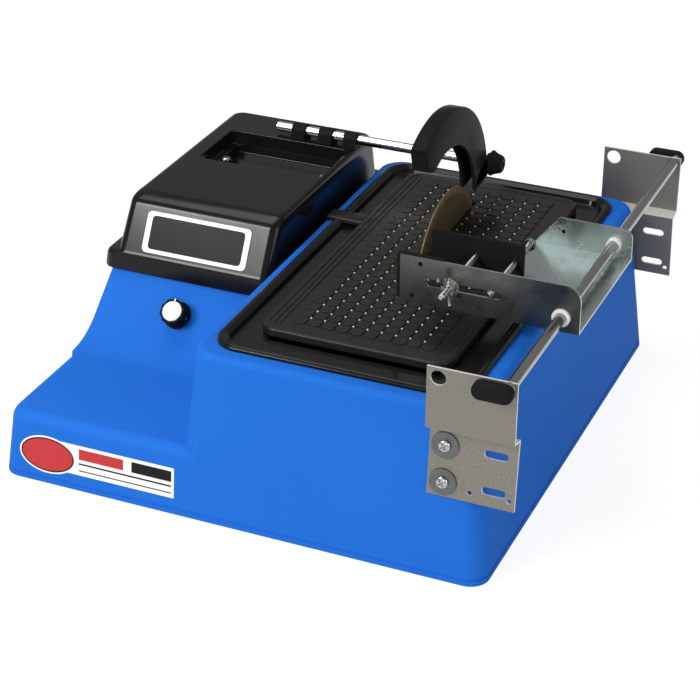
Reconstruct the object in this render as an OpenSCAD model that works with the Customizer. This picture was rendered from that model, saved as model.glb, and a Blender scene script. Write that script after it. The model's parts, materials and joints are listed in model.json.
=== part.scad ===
// Bench trim saw with a moulded body, a wet diamond blade and a sliding vise.
// Origin: centre of the body's footprint, on the surface that it stands on.
// +X runs along the front towards the vise, +Y to the rear, +Z up. Millimetres.

/* [Body] */
// Width of the moulded body at its foot
body_w = 448; // [430:1:470]
// Depth of the moulded body at its foot
body_d = 464; // [448:1:484]
// Height of the tray deck
deck_h = 153; // [146:1:175]
// How far each outer wall leans in over the height of the deck
draft = 15; // [10:1:18]
// Wall of the body
wall = 5; // [3.5:0.25:6]
// Radius of the upright corners
corner_r = 17; // [14:1:26]
// Radius along the top edges
edge_r = 6; // [4:1:10]
// Height of the front ledge of the motor section
ledge_h = 62; // [52:1:66]
// Height of the deck under the motor cover
motor_deck_h = 121; // [116:1:124]
// Width of the tray section at its foot
tray_section_w = 281; // [276:1:290]
// How far the step between the two sections leans
step_lean = 14; // [8:1:16]
// Where the sloping face meets the ledge, behind the front edge
ledge_depth = 139; // [132:1:146]
// Angle of the sloping face from the level
slope_angle = 48; // [44:1:52]
// Thickness of the base plate
base_t = 4; // [3:0.5:6]
// Diameter of a base screw
base_screw_d = 5; // [4:0.5:6]

/* [Motor cover] */
// Height of the cover's top above the tray deck
cover_h = 31; // [28:1:38]
// Wall of the cover
cover_wall = 3; // [2.5:0.25:4]
// Height of the skirt flange
flange_h = 17; // [13:1:19]
// How far the flange stands out past the deck
flange_lap = 5; // [4:0.5:6]
// How far the cover's rear wall leans in
hood_rear_run = 12; // [6:1:16]
// Depth of the upper level of the tool pocket
pocket_step = 13; // [10:1:15]
// Depth of the whole tool pocket
pocket_depth = 21; // [19:1:22]
// Length of the tool pocket from front to back
pocket_d = 73; // [62:1:74]
// Width of the name plate
plate_w = 104; // [88:1:112]
// Height of the name plate
plate_h = 38; // [30:1:40]

/* [Tray and table] */
// Width of the water tray over its rim
tray_w = 228; // [222:1:231]
// Length of the water tray over its rim
tray_l = 408; // [398:1:412]
// Wall of the water tray
tray_wall = 3; // [2.5:0.25:3.5]
// Width of the rim bead
rim_w = 11; // [9:1:12]
// Height of the rim bead above the deck
rim_h = 4.5; // [3.5:0.5:6]
// Depth of the water basin below the deck
basin_depth = 115; // [112:1:120]
// Width of the work table
table_w = 171; // [168:1:176]
// Length of the work table
table_l = 348; // [340:1:354]
// Thickness of the work table
table_t = 8; // [7:0.5:9]
// Width of the blade slot
slot_w = 4; // [3:0.5:6]

/* [Blade and drive] */
// Diameter of the diamond blade
blade_d = 152.4; // [148:0.2:154]
// Thickness of the blade's core
blade_t = 0.9; // [0.6:0.1:1.2]
// Thickness of the diamond rim
rim_t = 1.2; // [1.0:0.1:1.6]
// Width of the diamond rim
rim_band = 6; // [4:1:9]
// Distance of the blade from the right side of the body
blade_inset = 150; // [148:1:154]
// Distance of the blade's axis from the front of the body
blade_setback = 300; // [296:1:304]
// Depth of the blade's axis under the deck
axis_drop = 31; // [29:1:33]
// Diameter of the arbor shaft
arbor_d = 12; // [11:0.5:12.5]
// Diameter of the blade flanges
blade_flange_d = 38; // [32:1:42]
// Diameter of the motor
motor_d = 70; // [60:1:72]
// Length of the motor
motor_l = 92; // [80:1:96]

/* [Blade guard] */
// Outer radius of the guard
guard_r = 110; // [104:1:114]
// Inner radius of the guard
guard_inner_r = 75; // [74:0.5:79]
// Thickness of the guard across the blade
guard_t = 15; // [13:1:16]
// Wall of the guard
guard_wall = 2.5; // [2:0.25:3]
// Distance from the guard's pivot to the centre of its arc
guard_reach = 117; // [114:1:120]
// How far the guard stands above level
guard_lift = -9; // [-12:1:-6]
// Diameter of the guard rod
guard_rod_d = 9.5; // [8:0.5:9.5]
// Height of the guard rod above the motor cover
guard_rod_rise = 7; // [7:0.5:9]

/* [Vise] */
// Diameter of the guide rod
rod_d = 9.5; // [8:0.5:10]
// How far the guide rod stands outside the body
rod_out = 15; // [13:0.5:17]
// Height of the guide rod above the deck
rod_above = 38.5; // [37:0.5:42]
// Distance of the vise, where it rests, from the front of the body
vise_setback = 125; // [118:1:132]
// Thickness of the vise sheet
sheet_t = 2; // [1.5:0.25:2.5]
// Length of the vise's front wall
vise_w = 156; // [150:1:158]
// Depth of the vise over its walls
vise_d = 149; // [140:1:156]
// Height of the vise's front wall
vise_h = 42; // [40:1:45]
// How far the moving jaw stays below the top of the vise's front wall
jaw_drop = 4; // [2:1:7]
// Height of the vise's rear wall
rear_wall_h = 29; // [26:1:31]
// Width of the vise's floor
floor_w = 87; // [80:1:92]
// Length of the slot in the front wall
jaw_slot_l = 66; // [60:1:68]
// Diameter of the clamp screws
clamp_d = 6; // [5:0.5:6]
// Gap between the two jaws
jaw_gap = 56; // [45:1:60]
// Thickness of the moving jaw
jaw_t = 4; // [3:0.5:5]

/* [Rod brackets] */
// Width of a rod bracket
bracket_w = 74; // [72:1:78]
// Height of the bracket's upper plate
bracket_up_h = 54; // [51:1:58]
// Height of the bracket's lower plate
bracket_low_h = 62; // [59:1:66]
// How far the upper plate stands out from the lower one
joggle = 12; // [10:1:14]
// Thickness of the bracket
bracket_t = 2; // [1.5:0.25:2.5]
// Diameter of the large washers
fender_d = 23; // [20:1:24]

/* [Knobs] */
// Diameter of the speed knob
speed_knob_d = 26; // [23:1:28]
// Height of the speed knob
speed_knob_h = 14; // [11:1:16]
// Diameter of the guard's clamp knob
guard_knob_d = 24; // [20:1:26]
// Length of a rod-end lever
lever_l = 27; // [23:1:31]

/* [Hidden] */
$fn = 64;

clear = 0.3;          // air between neighbours that don't touch
run_fit = 0.05;       // radial clearance of a running fit
eps = 0.01;
seam = 0.4;           // set-back of one moulded block behind the one below it
smooth = 32;          // sides of the rounded corners in a hull

// body outline
left_x = -body_w / 2;
right_x = body_w / 2;
front_y = -body_d / 2;
rear_y = body_d / 2;
step_x = right_x - tray_section_w;
ledge_bend_y = front_y + ledge_depth;
function lean(z) = draft * z / deck_h;
function step_at(z) = step_x + step_lean * z / deck_h;
function slope_y(z) = ledge_bend_y + (z - ledge_h) / tan(slope_angle);
function wall_y(z) = front_y + lean(z);
wall_angle = atan(draft / deck_h);

// drive line
blade_x = right_x - blade_inset;
axis_y = front_y + blade_setback;
axis_z = deck_h - axis_drop;

// cover
cover_top = deck_h + cover_h;
flange_z = motor_deck_h - 3;
flange_top = flange_z + flange_h;
flange_x0 = left_x + lean(motor_deck_h) - flange_lap;
flange_x1 = step_at(motor_deck_h) - 4;
flange_y0 = slope_y(flange_z) - 3 - 2 * clear;
flange_y1 = rear_y - lean(motor_deck_h) + flange_lap;
flange_flare = 3;
hood_lean = 3;
hood_front_run = 27;
hood_x0 = flange_x0 + 12;
hood_x1 = flange_x1 - 1.5;
hood_y0 = flange_y0 + 1;
hood_y1 = flange_y1 - 14;
hood_edges = [8, 12, 4, 5];   // rounding of the top's left, front, right and rear edges
hood_angle = atan((cover_top - flange_top) / hood_front_run);
pocket_x0 = hood_x0 + 23.5;
pocket_x1 = hood_x1 - 5;
pocket_y0 = axis_y + 9;
pocket_y1 = pocket_y0 + pocket_d;
pocket_ledge = 9;

decal_oval_w = 54;
decal_oval_h = 42;
decal_strip_l = 107;
decal_strip_h = 24;

// tray and table
tray_x0 = step_at(deck_h) + 10;
tray_y0 = front_y + lean(deck_h) + 14;
tray_cx = tray_x0 + tray_w / 2;
tray_cy = tray_y0 + tray_l / 2;
tray_corner = 24;
shelf_z = deck_h - 3;
shelf_w = 26;
basin_w = tray_w - 2 * (rim_w + shelf_w);
basin_l = tray_l - 2 * (rim_w + shelf_w);
basin_z = deck_h - basin_depth;
table_cx = tray_cx - 2;
table_cy = tray_cy + 10;
table_top = shelf_z + table_t;
tongue_d = 18;
slot_reach = sqrt(pow(blade_d / 2, 2) - pow(shelf_z - axis_z, 2)) + 5;

// vise
rod_x = right_x + rod_out;
rod_z = deck_h + rod_above;
vise_x1 = rod_x + 15.5;
vise_x0 = vise_x1 - vise_w;
vise_z = rod_z - 13.5;
vise_y0 = front_y + vise_setback;
vise_y1 = vise_y0 + vise_d;
slot_z = vise_z + 21;
slot_h = clamp_d + 1;
slot_x0 = vise_x0 + 23;
clamp_x = vise_x0 + 44.5;
jack_x = clamp_x + 34;
bush_hole_d = rod_d + 3.5;
bush_flange_d = rod_d + 6;
jaw_y0 = vise_y0 + sheet_t + 4 + jaw_gap;
jaw_x0 = vise_x0 + 4;
jaw_x1 = jack_x + 8;
jack_y1 = jaw_y0 + jaw_t + 41;
pad_t = 4;
pad_w = 41;
nut_t = 5;

// brackets
bracket_x1 = rod_x + 6.5;
bracket_x0 = bracket_x1 - bracket_w;
bracket_step = 3;
bracket_low_z = rod_z + 4.5 - bracket_up_h - bracket_step - bracket_low_h;
low_foot_z = bracket_low_z;
low_top_z = bracket_low_z + bracket_low_h;
up_foot_z = low_top_z + bracket_step;
up_top_z = up_foot_z + bracket_up_h;
up_face_y = wall_y(low_top_z) - bracket_t - joggle;
washer_x = bracket_x0 + 13.5;
washer_zs = [low_foot_z + 13, low_foot_z + 45];
washer_t = 1.5;
screw_head_h = 3.2;
screw_d = 6;
rod_end_nut_t = 5;
lever_t = 10;

// guard
pivot_x1 = blade_x + guard_t / 2;
pivot_y = axis_y + 94;
pivot_z = cover_top + guard_rod_rise;
guard_cy = pivot_y - guard_reach * cos(guard_lift);
guard_cz = pivot_z + guard_reach * sin(guard_lift);
guard_rod_x0 = -137;
clip_xs = [-113, -85, -59];
clip_w = 14;

// speed knob on the sloping face
knob_x = (left_x + step_x) / 2 + 8;
knob_z = ledge_h + 31;
knob_y = slope_y(knob_z);
cap_d = speed_knob_d - 7;

// ---- helpers ----
module rect_round(x0, y0, x1, y1, r) {
    translate([x0 + r, y0]) square([x1 - x0 - 2 * r, y1 - y0]);
    translate([x0, y0 + r]) square([x1 - x0, y1 - y0 - 2 * r]);
    for (x = [x0 + r, x1 - r], y = [y0 + r, y1 - r]) translate([x, y]) circle(r);
}

module slab(x0, y0, x1, y1, r, z, t = 0.4) {
    for (x = [x0 + r, x1 - r], y = [y0 + r, y1 - r]) translate([x, y, z]) cylinder(r = r, h = t, $fn = smooth);
}

module along_x(x0, x1) {
    translate([x0, 0, 0]) rotate([90, 0, 90]) linear_extrude(x1 - x0) children();
}

module along_y(y0, y1) {
    translate([0, y1, 0]) rotate([90, 0, 0]) linear_extrude(y1 - y0) children();
}

module rod_x_axis(x0, x1, d, y, z) {
    translate([x0, y, z]) rotate([0, 90, 0]) cylinder(d = d, h = x1 - x0);
}

module rod_y_axis(y0, y1, d, x, z) {
    translate([x, y1, z]) rotate([90, 0, 0]) cylinder(d = d, h = y1 - y0);
}

module rod_z_axis(z0, z1, d, x, y) {
    translate([x, y, z0]) cylinder(d = d, h = z1 - z0);
}

module hex_y(y0, y1, across, x, z) {
    translate([x, y1, z]) rotate([90, 30, 0]) cylinder(d = across / cos(30), h = y1 - y0, $fn = 6);
}

// puts children on the drafted front wall: local z points out of the wall
module on_front_wall(x, z) {
    translate([x, wall_y(z), z]) rotate([90 - wall_angle, 0, 0]) children();
}

// puts children on the sloping face: local z points out of the face
module on_slope(x, z, lift = 0) {
    translate([x, slope_y(z), z]) rotate([slope_angle, 0, 0]) translate([0, 0, lift]) children();
}

// both rod brackets, or what belongs to them, mirrored to the rear
module both_ends() {
    children();
    mirror([0, 1, 0]) children();
}

// ---- body ----
// Three stacked blocks. Each upper one is set back by a hair, so that no two walls lie in one plane.
module rounded_top(x0, x1, y_front, in, z_foot, top, r, left_lean = draft) {
    slab_at(x0, x1, y_front, in, z_foot, 0, r, left_lean);
    for (a = [0 : 30 : 90])
        slab_at(x0, x1, y_front, in, top - edge_r + (edge_r - 0.4) * sin(a), edge_r * (1 - cos(a)), r, left_lean);
}

module slab_at(x0, x1, y_front, in, z, inset, r, left_lean) {
    d = lean(z) + in + inset;
    slab(x0 + left_lean * z / deck_h + in + inset, y_front + d, x1 - d, rear_y - d, r, z);
}

module base_block(in, z_foot, top) {
    hull() rounded_top(left_x, right_x, front_y, in, z_foot, top, corner_r - in);
}

module tray_block(in, top) {
    hull() rounded_top(step_x - seam, right_x, front_y, in + seam, 10, top, corner_r - in, step_lean);
}

module motor_block(in, top) {
    hull() {
        motor_slab(in, ledge_h - 24);
        motor_slab(in, top - 0.4);
    }
}

module motor_slab(in, z) {
    d = lean(z) + in + 2 * seam;
    slab(left_x + d, slope_y(z) + in, step_x + 60 - in, rear_y - d, 12 - in * 0.5, z);
}

// softens the bend between the ledge and the sloping face
module bend_fillet() {
    r = 22;
    rise = r * sin(slope_angle);
    along_x(left_x + lean(ledge_h) + 5, step_x + 20)
        polygon([
            [ledge_bend_y - r, ledge_h - 6],
            [ledge_bend_y - r - 3, ledge_h - 1],
            [ledge_bend_y - r * 0.35, ledge_h + rise * 0.16],
            [slope_y(ledge_h + rise) - 0.6, ledge_h + rise - 1],
            [slope_y(ledge_h + rise) + 4, ledge_h - 6]
        ]);
}

// screw bosses, each with a rib to the wall beside it
module base_bosses() {
    for (x = [left_x + 26, 0, right_x - 26]) both_ends() {
        rod_z_axis(base_t + clear, 40, 18, x, front_y + 26);
        translate([x - 3, front_y + wall - 2, base_t + clear]) cube([6, 22, 28]);
    }
}

module housing_shell() color("royalblue") difference() {
    union() {
        difference() {
            union() {
                base_block(0, 0, ledge_h);
                tray_block(0, deck_h);
                motor_block(0, motor_deck_h);
                bend_fillet();
            }
            base_block(wall, -1, ledge_h - wall);
            tray_block(wall, deck_h - wall);
            motor_block(wall, motor_deck_h - wall);
        }
        base_bosses();
    }
    tray_recess();
    // opening under the motor cover
    translate([0, 0, motor_deck_h - wall - 4])
        linear_extrude(wall + 6)
            rect_round(motor_x1 - motor_l - 12, axis_y - motor_d / 2 - 0.8, flange_x1 - 14,
                axis_y + motor_d / 2 + 0.8, 3);
    // way for the coupling through the step
    rod_x_axis(step_x - 10, step_x + 40, 34, axis_y, axis_z);
    for (z = washer_zs) both_ends() on_front_wall(washer_x, z) translate([0, 0, -20]) cylinder(d = screw_d + 0.4, h = 30);
    on_slope(knob_x, knob_z, -20) cylinder(d = 9.4, h = 30);
    rod_y_axis(rear_y - 40, rear_y + 10, 12.4, left_x + 60, 40);
    for (x = [left_x + 26, 0, right_x - 26], y = [front_y + 26, rear_y - 26])
        rod_z_axis(-1, 26, base_screw_d + 0.2, x, y);
    for (p = cover_screw_places) rod_z_axis(motor_deck_h - 12, motor_deck_h + 6, 4.2, p[0], p[1]);
}

// opening in the deck that the tray hangs in by its rim
module tray_recess() {
    translate([0, 0, deck_h - wall - 4])
        linear_extrude(wall + 8)
            rect_round(tray_x0 + rim_w - tray_wall - 0.5, tray_y0 + rim_w - tray_wall - 0.5,
                tray_x0 + tray_w - rim_w + tray_wall + 0.5, tray_y0 + tray_l - rim_w + tray_wall + 0.5,
                tray_corner - rim_w + tray_wall);
}

module base_plate() color("dimgray") difference() {
    linear_extrude(base_t)
        rect_round(left_x + wall + 1, front_y + wall + 1, right_x - wall - 1, rear_y - wall - 1, corner_r - wall - 1);
    for (x = [left_x + 26, 0, right_x - 26], y = [front_y + 26, rear_y - 26]) {
        rod_z_axis(-1, base_t + 1, base_screw_d + 0.6, x, y);
        rod_z_axis(-1, 2.4, 2 * base_screw_d + 0.6, x, y);
    }
    for (p = frame_screw_places) rod_z_axis(-1, base_t + 1, 5.4, p[0], p[1]);
    for (p = frame_screw_places) rod_z_axis(-1, 2.4, 10.6, p[0], p[1]);
    for (p = controller_screw_places) rod_z_axis(-1, base_t + 1, 3.4, p[0], p[1]);
}

module base_screws() color("silver")
    for (x = [left_x + 26, 0, right_x - 26], y = [front_y + 26, rear_y - 26]) {
        rod_z_axis(0.4, 2.4, 2 * base_screw_d, x, y);
        rod_z_axis(2.4 - eps, 22, base_screw_d, x, y);
    }

// ---- motor cover ----
cover_screw_places = [[pocket_x0 + 14, pocket_y0 + 31.5], [pocket_x1 - 8.5, pocket_y0 + 31.5]];
screw_seat = cover_top - pocket_step;

module hood(in, top) {
    r = 9 - in * 0.7;
    hull() {
        hood_slab(in, r, flange_top - 1, 0);
        for (a = [0 : 30 : 90]) hood_slab(in, r, top - 0.4 - hood_edges[0] * (1 - sin(a)), 1 - cos(a));
    }
}

module hood_slab(in, r, z, k_edge) {
    k = (z - flange_top) / (cover_top - flange_top);
    e = hood_edges * k_edge;
    slab(hood_x0 + hood_lean * k + in + e[0], hood_y0 + hood_front_run * k + in + e[1],
        hood_x1 - in - e[2], hood_y1 - hood_rear_run * k - in - e[3], r, z);
}

module pocket_box(in, z_in) {
    translate([0, 0, cover_top - pocket_step + z_in])
        linear_extrude(pocket_step + 12) rect_round(pocket_x0 + in, pocket_y0 + in, pocket_x1 - in, pocket_y1 - in, 8);
    translate([0, 0, cover_top - pocket_depth + z_in])
        linear_extrude(pocket_depth)
            rect_round(pocket_x0 + pocket_ledge + in, pocket_y0 + in, pocket_x1 - pocket_ledge - in,
                pocket_y1 - 1.2 - in, 6);
}

module motor_cover() color("#202022") difference() {
    union() {
        difference() {
            union() {
                hood(0, cover_top);
                hull() {
                    slab(flange_x0, flange_y0, flange_x1, flange_y1, 10, flange_top - 0.4);
                    slab(flange_x0 - flange_flare, flange_y0 - 0.5, flange_x1, flange_y1 + flange_flare, 11, flange_z);
                }
            }
            // room over the deck, and the lip that hangs round three of its sides
            translate([0, 0, flange_z - 1])
                linear_extrude(motor_deck_h + clear - flange_z + 1)
                    rect_round(flange_x0 + 3, flange_y0 + 3, flange_x1 + 40, flange_y1 - 3, 10);
            translate([0, 0, motor_deck_h - 1])
                linear_extrude(flange_top - motor_deck_h + 1)
                    rect_round(hood_x0 + cover_wall, hood_y0 + cover_wall, hood_x1 - cover_wall, hood_y1 - cover_wall, 8);
            hood(cover_wall, cover_top - cover_wall);
        }
        intersection() {
            pocket_box(-cover_wall, -cover_wall);
            hood(cover_wall / 2, cover_top);
        }
        for (p = cover_screw_places) cover_post(p);
    }
    pocket_box(0, 0);
    // way for the coupling
    translate([flange_x1 - 12, axis_y - 14, flange_z - 1]) cube([24, 28, axis_z + 14 - flange_z]);
    for (p = cover_screw_places) {
        rod_z_axis(motor_deck_h - 2, cover_top + 2, 4.4, p[0], p[1]);
        rod_z_axis(screw_seat + 0.05, cover_top + 2, 12, p[0], p[1]);
    }
}

module cover_post(p) {
    rod_z_axis(motor_deck_h + clear, screw_seat + 0.05, 8, p[0], p[1]);
    rod_z_axis(screw_seat - 22, screw_seat + 0.05, 12, p[0], p[1]);
}

module cover_screws() color("silver")
    for (p = cover_screw_places) {
        rod_z_axis(screw_seat + 0.1, screw_seat + 3, 9, p[0], p[1]);
        rod_z_axis(motor_deck_h - 10, screw_seat + 0.1 + eps, 4, p[0], p[1]);
    }

// the name plate's place on the hood's sloping front
module hood_front(up) {
    k = up / (cover_top - flange_top);
    translate([(hood_x0 + hood_x1) / 2 + 0.5, hood_y0 + hood_front_run * k, flange_top + up])
        rotate([hood_angle, 0, 0]) children();
}

module name_plate() color("black")
    hood_front((cover_top - flange_top) * 0.42) translate([-plate_w / 2, -plate_h / 2, 0.35])
        linear_extrude(0.8) rect_round(0, 0, plate_w, plate_h, 4);

module side_decal() color("white") on_front_wall(left_x + 45, 34) translate([0, 0, 0.3]) linear_extrude(0.6) {
    scale([decal_oval_w / 2, decal_oval_h / 2]) circle(1);
    translate([decal_oval_w / 3, -decal_strip_h * 0.76]) square([decal_strip_l, decal_strip_h]);
}

// ---- drive ----
frame_x0 = flange_x1 - 40;
frame_x1 = frame_x0 + 66;
frame_t = 5;
frame_w = 70;
frame_screw_places = [for (x = [frame_x0 + 17, frame_x1 - 19], y = [axis_y - 22, axis_y + 22]) [x, y]];
motor_x1 = frame_x0;
arbor_x0 = frame_x1 - frame_t - 14;
tube_x1 = blade_x - 20;
tube_d = 32;
bearing_d = 26;
tube_flange_d = 47;
tube_screw_r = 20;
bearing_w = 8;

module frame_cheek(x, r) {
    along_x(x, x + frame_t) union() {
        polygon([
            [axis_y - frame_w / 2, base_t + clear], [axis_y + frame_w / 2, base_t + clear],
            [axis_y + frame_w / 2, axis_z * 0.4], [axis_y + r, axis_z],
            [axis_y - r, axis_z], [axis_y - frame_w / 2, axis_z * 0.4]
        ]);
        translate([axis_y, axis_z]) circle(r);
    }
}

module drive_frame() color("slategray") difference() {
    union() {
        translate([frame_x0, axis_y - frame_w / 2, base_t + clear]) cube([frame_x1 - frame_x0, frame_w, frame_t]);
        frame_cheek(frame_x0, frame_w / 2);
        frame_cheek(frame_x1 - frame_t, tube_flange_d / 2);
    }
    rod_x_axis(frame_x0 - 1, frame_x0 + frame_t + 1, 24.2, axis_y, axis_z);
    rod_x_axis(frame_x1 - frame_t - 1, frame_x1 + 1, tube_d + 0.2, axis_y, axis_z);
    for (a = [45 : 90 : 315]) {
        rod_x_axis(frame_x0 - 1, frame_x0 + frame_t + 1, 4.3, axis_y + 22 * cos(a), axis_z + 22 * sin(a));
        rod_x_axis(frame_x1 - frame_t - 1, frame_x1 + 1, 4.3, axis_y + tube_screw_r * cos(a),
            axis_z + tube_screw_r * sin(a));
    }
    for (p = frame_screw_places) rod_z_axis(0, base_t + frame_t + 2, 5.3, p[0], p[1]);
}

module drive_frame_screws() color("silver") for (p = frame_screw_places) {
    rod_z_axis(0.4, 2.4, 10, p[0], p[1]);
    rod_z_axis(2.4 - eps, base_t + frame_t + 8, 5, p[0], p[1]);
}

module motor_body() color("#3a3d42") difference() {
    union() {
        rod_x_axis(motor_x1 - motor_l, motor_x1, motor_d, axis_y, axis_z);
        rod_x_axis(motor_x1 - eps, motor_x1 + 3, 24, axis_y, axis_z);
        rod_x_axis(motor_x1 - motor_l - 8, motor_x1 - motor_l + eps, 30, axis_y, axis_z);
    }
    rod_x_axis(motor_x1 - motor_l - 20, motor_x1 + 5, 8 + 2 * run_fit, axis_y, axis_z);
    for (a = [45 : 90 : 315]) rod_x_axis(motor_x1 - 12, motor_x1 + 1, 4, axis_y + 22 * cos(a), axis_z + 22 * sin(a));
}

module motor_screws() color("silver") for (a = [45 : 90 : 315]) {
    rod_x_axis(motor_x1 - 10, motor_x1 + frame_t + eps, 4, axis_y + 22 * cos(a), axis_z + 22 * sin(a));
    rod_x_axis(motor_x1 + frame_t, motor_x1 + frame_t + 3, 7.5, axis_y + 22 * cos(a), axis_z + 22 * sin(a));
}

controller_x = left_x + 40;
controller_y = front_y + 40;
board_w = 90;
board_d = 70;
controller_screw_places = [for (x = [6, board_w - 6], y = [6, board_d - 6]) [controller_x + x, controller_y + y]];

module speed_controller() color("darkgreen") {
    difference() {
        union() {
            translate([controller_x, controller_y, base_t + 6]) cube([board_w, board_d, 2]);
            for (p = controller_screw_places) rod_z_axis(base_t + eps, base_t + 6.1, 7, p[0], p[1]);
        }
        for (p = controller_screw_places) rod_z_axis(base_t - 1, base_t + 7, 3, p[0], p[1]);
    }
    translate([controller_x + 14, controller_y + 22, base_t + 8 - eps]) cube([26, 30, 20]);
    translate([controller_x + 52, controller_y + 36, base_t + 8 - eps]) cylinder(d = 16, h = 24);
}

module speed_pot() color("#555555") difference() {
    union() {
        on_slope(knob_x, knob_z, -wall - 12) cylinder(d = 16, h = 12 - 0.5);
        on_slope(knob_x, knob_z, -wall - 1) cylinder(d = 9, h = wall + 2);
    }
    on_slope(knob_x, knob_z, -wall - 8) cylinder(d = 6 + 2 * run_fit, h = wall + 10);
}

module cord_gland() color("black") difference() {
    union() {
        rod_y_axis(rear_y - 10, rear_y + 8, 12, left_x + 60, 40);
        rod_y_axis(rear_y - lean(40) + 0.9, rear_y + 3, 18, left_x + 60, 40);
        rod_y_axis(rear_y - 13, rear_y - 10 + eps, 17, left_x + 60, 40);
    }
    rod_y_axis(rear_y - 14, rear_y + 9, 7, left_x + 60, 40);
}

// ---- tray and table ----
module water_tray() color("#18181a") difference() {
    union() {
        // rim bead on the deck
        translate([0, 0, deck_h + 0.1]) linear_extrude(rim_h - 1.6)
            rect_round(tray_x0, tray_y0, tray_x0 + tray_w, tray_y0 + tray_l, tray_corner);
        translate([0, 0, deck_h + rim_h - 1.6]) linear_extrude(1.6)
            rect_round(tray_x0 + 2, tray_y0 + 2, tray_x0 + tray_w - 2, tray_y0 + tray_l - 2, tray_corner - 2);
        translate([0, 0, shelf_z - tray_wall]) linear_extrude(deck_h - shelf_z + tray_wall + 1)
            rect_round(tray_x0 + rim_w - tray_wall, tray_y0 + rim_w - tray_wall, tray_x0 + tray_w - rim_w + tray_wall,
                tray_y0 + tray_l - rim_w + tray_wall, tray_corner - rim_w + tray_wall);
        translate([0, 0, basin_z]) linear_extrude(shelf_z - basin_z)
            rect_round(tray_cx - basin_w / 2 - tray_wall, tray_cy - basin_l / 2 - tray_wall,
                tray_cx + basin_w / 2 + tray_wall, tray_cy + basin_l / 2 + tray_wall, tray_corner - 8);
    }
    translate([0, 0, shelf_z]) linear_extrude(rim_h + 10)
        rect_round(tray_x0 + rim_w, tray_y0 + rim_w, tray_x0 + tray_w - rim_w, tray_y0 + tray_l - rim_w,
            tray_corner - rim_w);
    translate([0, 0, basin_z + tray_wall]) linear_extrude(deck_h)
        rect_round(tray_cx - basin_w / 2, tray_cy - basin_l / 2, tray_cx + basin_w / 2, tray_cy + basin_l / 2,
            tray_corner - 8 - tray_wall);
    rod_x_axis(tray_cx - basin_w / 2 - 20, tray_cx, tube_d + 6, axis_y, axis_z);
    // notch in the rim for the table's tongue
    translate([tray_x0 - 1, axis_y - tongue_d / 2 - 1, deck_h + 0.3]) cube([rim_w + 6, tongue_d + 2, rim_h + 5]);
}

module work_table() color("#1c1c1e") difference() {
    union() {
        translate([0, 0, shelf_z + 0.1]) linear_extrude(table_t - 0.1)
            rect_round(table_cx - table_w / 2, table_cy - table_l / 2, table_cx + table_w / 2,
                table_cy + table_l / 2, 15);
        translate([step_at(deck_h) + 2, axis_y - tongue_d / 2, deck_h + 0.4])
            cube([table_cx - table_w / 2 - step_at(deck_h), tongue_d, 3.6]);
    }
    // blade slot
    translate([blade_x - slot_w / 2, axis_y - slot_reach, shelf_z - 1]) cube([slot_w, 2 * slot_reach, table_t + 4]);
    // hollow underside over the basin
    translate([0, 0, shelf_z - 1]) linear_extrude(table_t - 3)
        rect_round(table_cx - basin_w / 2 + 8, table_cy - basin_l / 2 + 8, table_cx + basin_w / 2 - 8,
            table_cy + basin_l / 2 - 8, 10);
}

// ---- spindle ----
module arbor_housing() color("silver") difference() {
    union() {
        rod_x_axis(frame_x1 - frame_t, tube_x1, tube_d, axis_y, axis_z);
        rod_x_axis(frame_x1 + 0.05, frame_x1 + 6, tube_flange_d, axis_y, axis_z);
    }
    rod_x_axis(frame_x1 - frame_t - 1, tube_x1 + 1, arbor_d + 6, axis_y, axis_z);
    rod_x_axis(frame_x1 - frame_t - 1, frame_x1 - frame_t + bearing_w, bearing_d, axis_y, axis_z);
    rod_x_axis(tube_x1 - bearing_w, tube_x1 + 1, bearing_d, axis_y, axis_z);
    for (a = [45 : 90 : 315])
        rod_x_axis(frame_x1 - 1, frame_x1 + 7, 4.3, axis_y + tube_screw_r * cos(a), axis_z + tube_screw_r * sin(a));
}

module arbor_screws() color("silver") for (a = [45 : 90 : 315]) {
    y = axis_y + tube_screw_r * cos(a);
    z = axis_z + tube_screw_r * sin(a);
    rod_x_axis(frame_x1 - frame_t, frame_x1 + 6 + eps, 4, y, z);
    rod_x_axis(frame_x1 + 6, frame_x1 + 9, 6.6, y, z);
}

module arbor_bearings() color("gainsboro")
    for (x = [frame_x1 - frame_t, tube_x1 - bearing_w]) difference() {
        rod_x_axis(x, x + bearing_w, bearing_d, axis_y, axis_z);
        rod_x_axis(x - 1, x + bearing_w + 1, arbor_d + 2 * run_fit, axis_y, axis_z);
    }

module shaft_seal() color("black") difference() {
    rod_x_axis(tray_cx - basin_w / 2 - tray_wall - 4, tray_cx - basin_w / 2 - tray_wall - clear, 48, axis_y, axis_z);
    rod_x_axis(tray_cx - basin_w / 2 - 12, tray_cx, tube_d, axis_y, axis_z);
}

module motor_shaft() color("silver")
    rod_x_axis(motor_x1 - motor_l - 12, arbor_x0 - 1, 8, axis_y, axis_z);

module shaft_coupling() color("#b9bdc4") difference() {
    rod_x_axis(arbor_x0 - 14, arbor_x0 + 8, 22, axis_y, axis_z);
    rod_x_axis(arbor_x0 - 15, arbor_x0 - 1, 8, axis_y, axis_z);
    rod_x_axis(arbor_x0 - 1 - eps, arbor_x0 + 9, arbor_d, axis_y, axis_z);
}

module arbor_shaft() color("silver")
    rod_x_axis(arbor_x0 - 1, blade_x + 17, arbor_d, axis_y, axis_z);

module blade_flanges() color("lightgray") for (s = [-1, 1]) difference() {
    union() {
        translate([blade_x + s * (blade_t / 2 + 2.5), axis_y, axis_z]) rotate([0, 90, 0])
            cylinder(d = blade_flange_d, h = 5, center = true);
        translate([blade_x + s * (blade_t / 2 + 6), axis_y, axis_z]) rotate([0, 90, 0])
            cylinder(d = 24, h = 4, center = true);
    }
    rod_x_axis(blade_x - 20, blade_x + 20, arbor_d, axis_y, axis_z);
}

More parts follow.
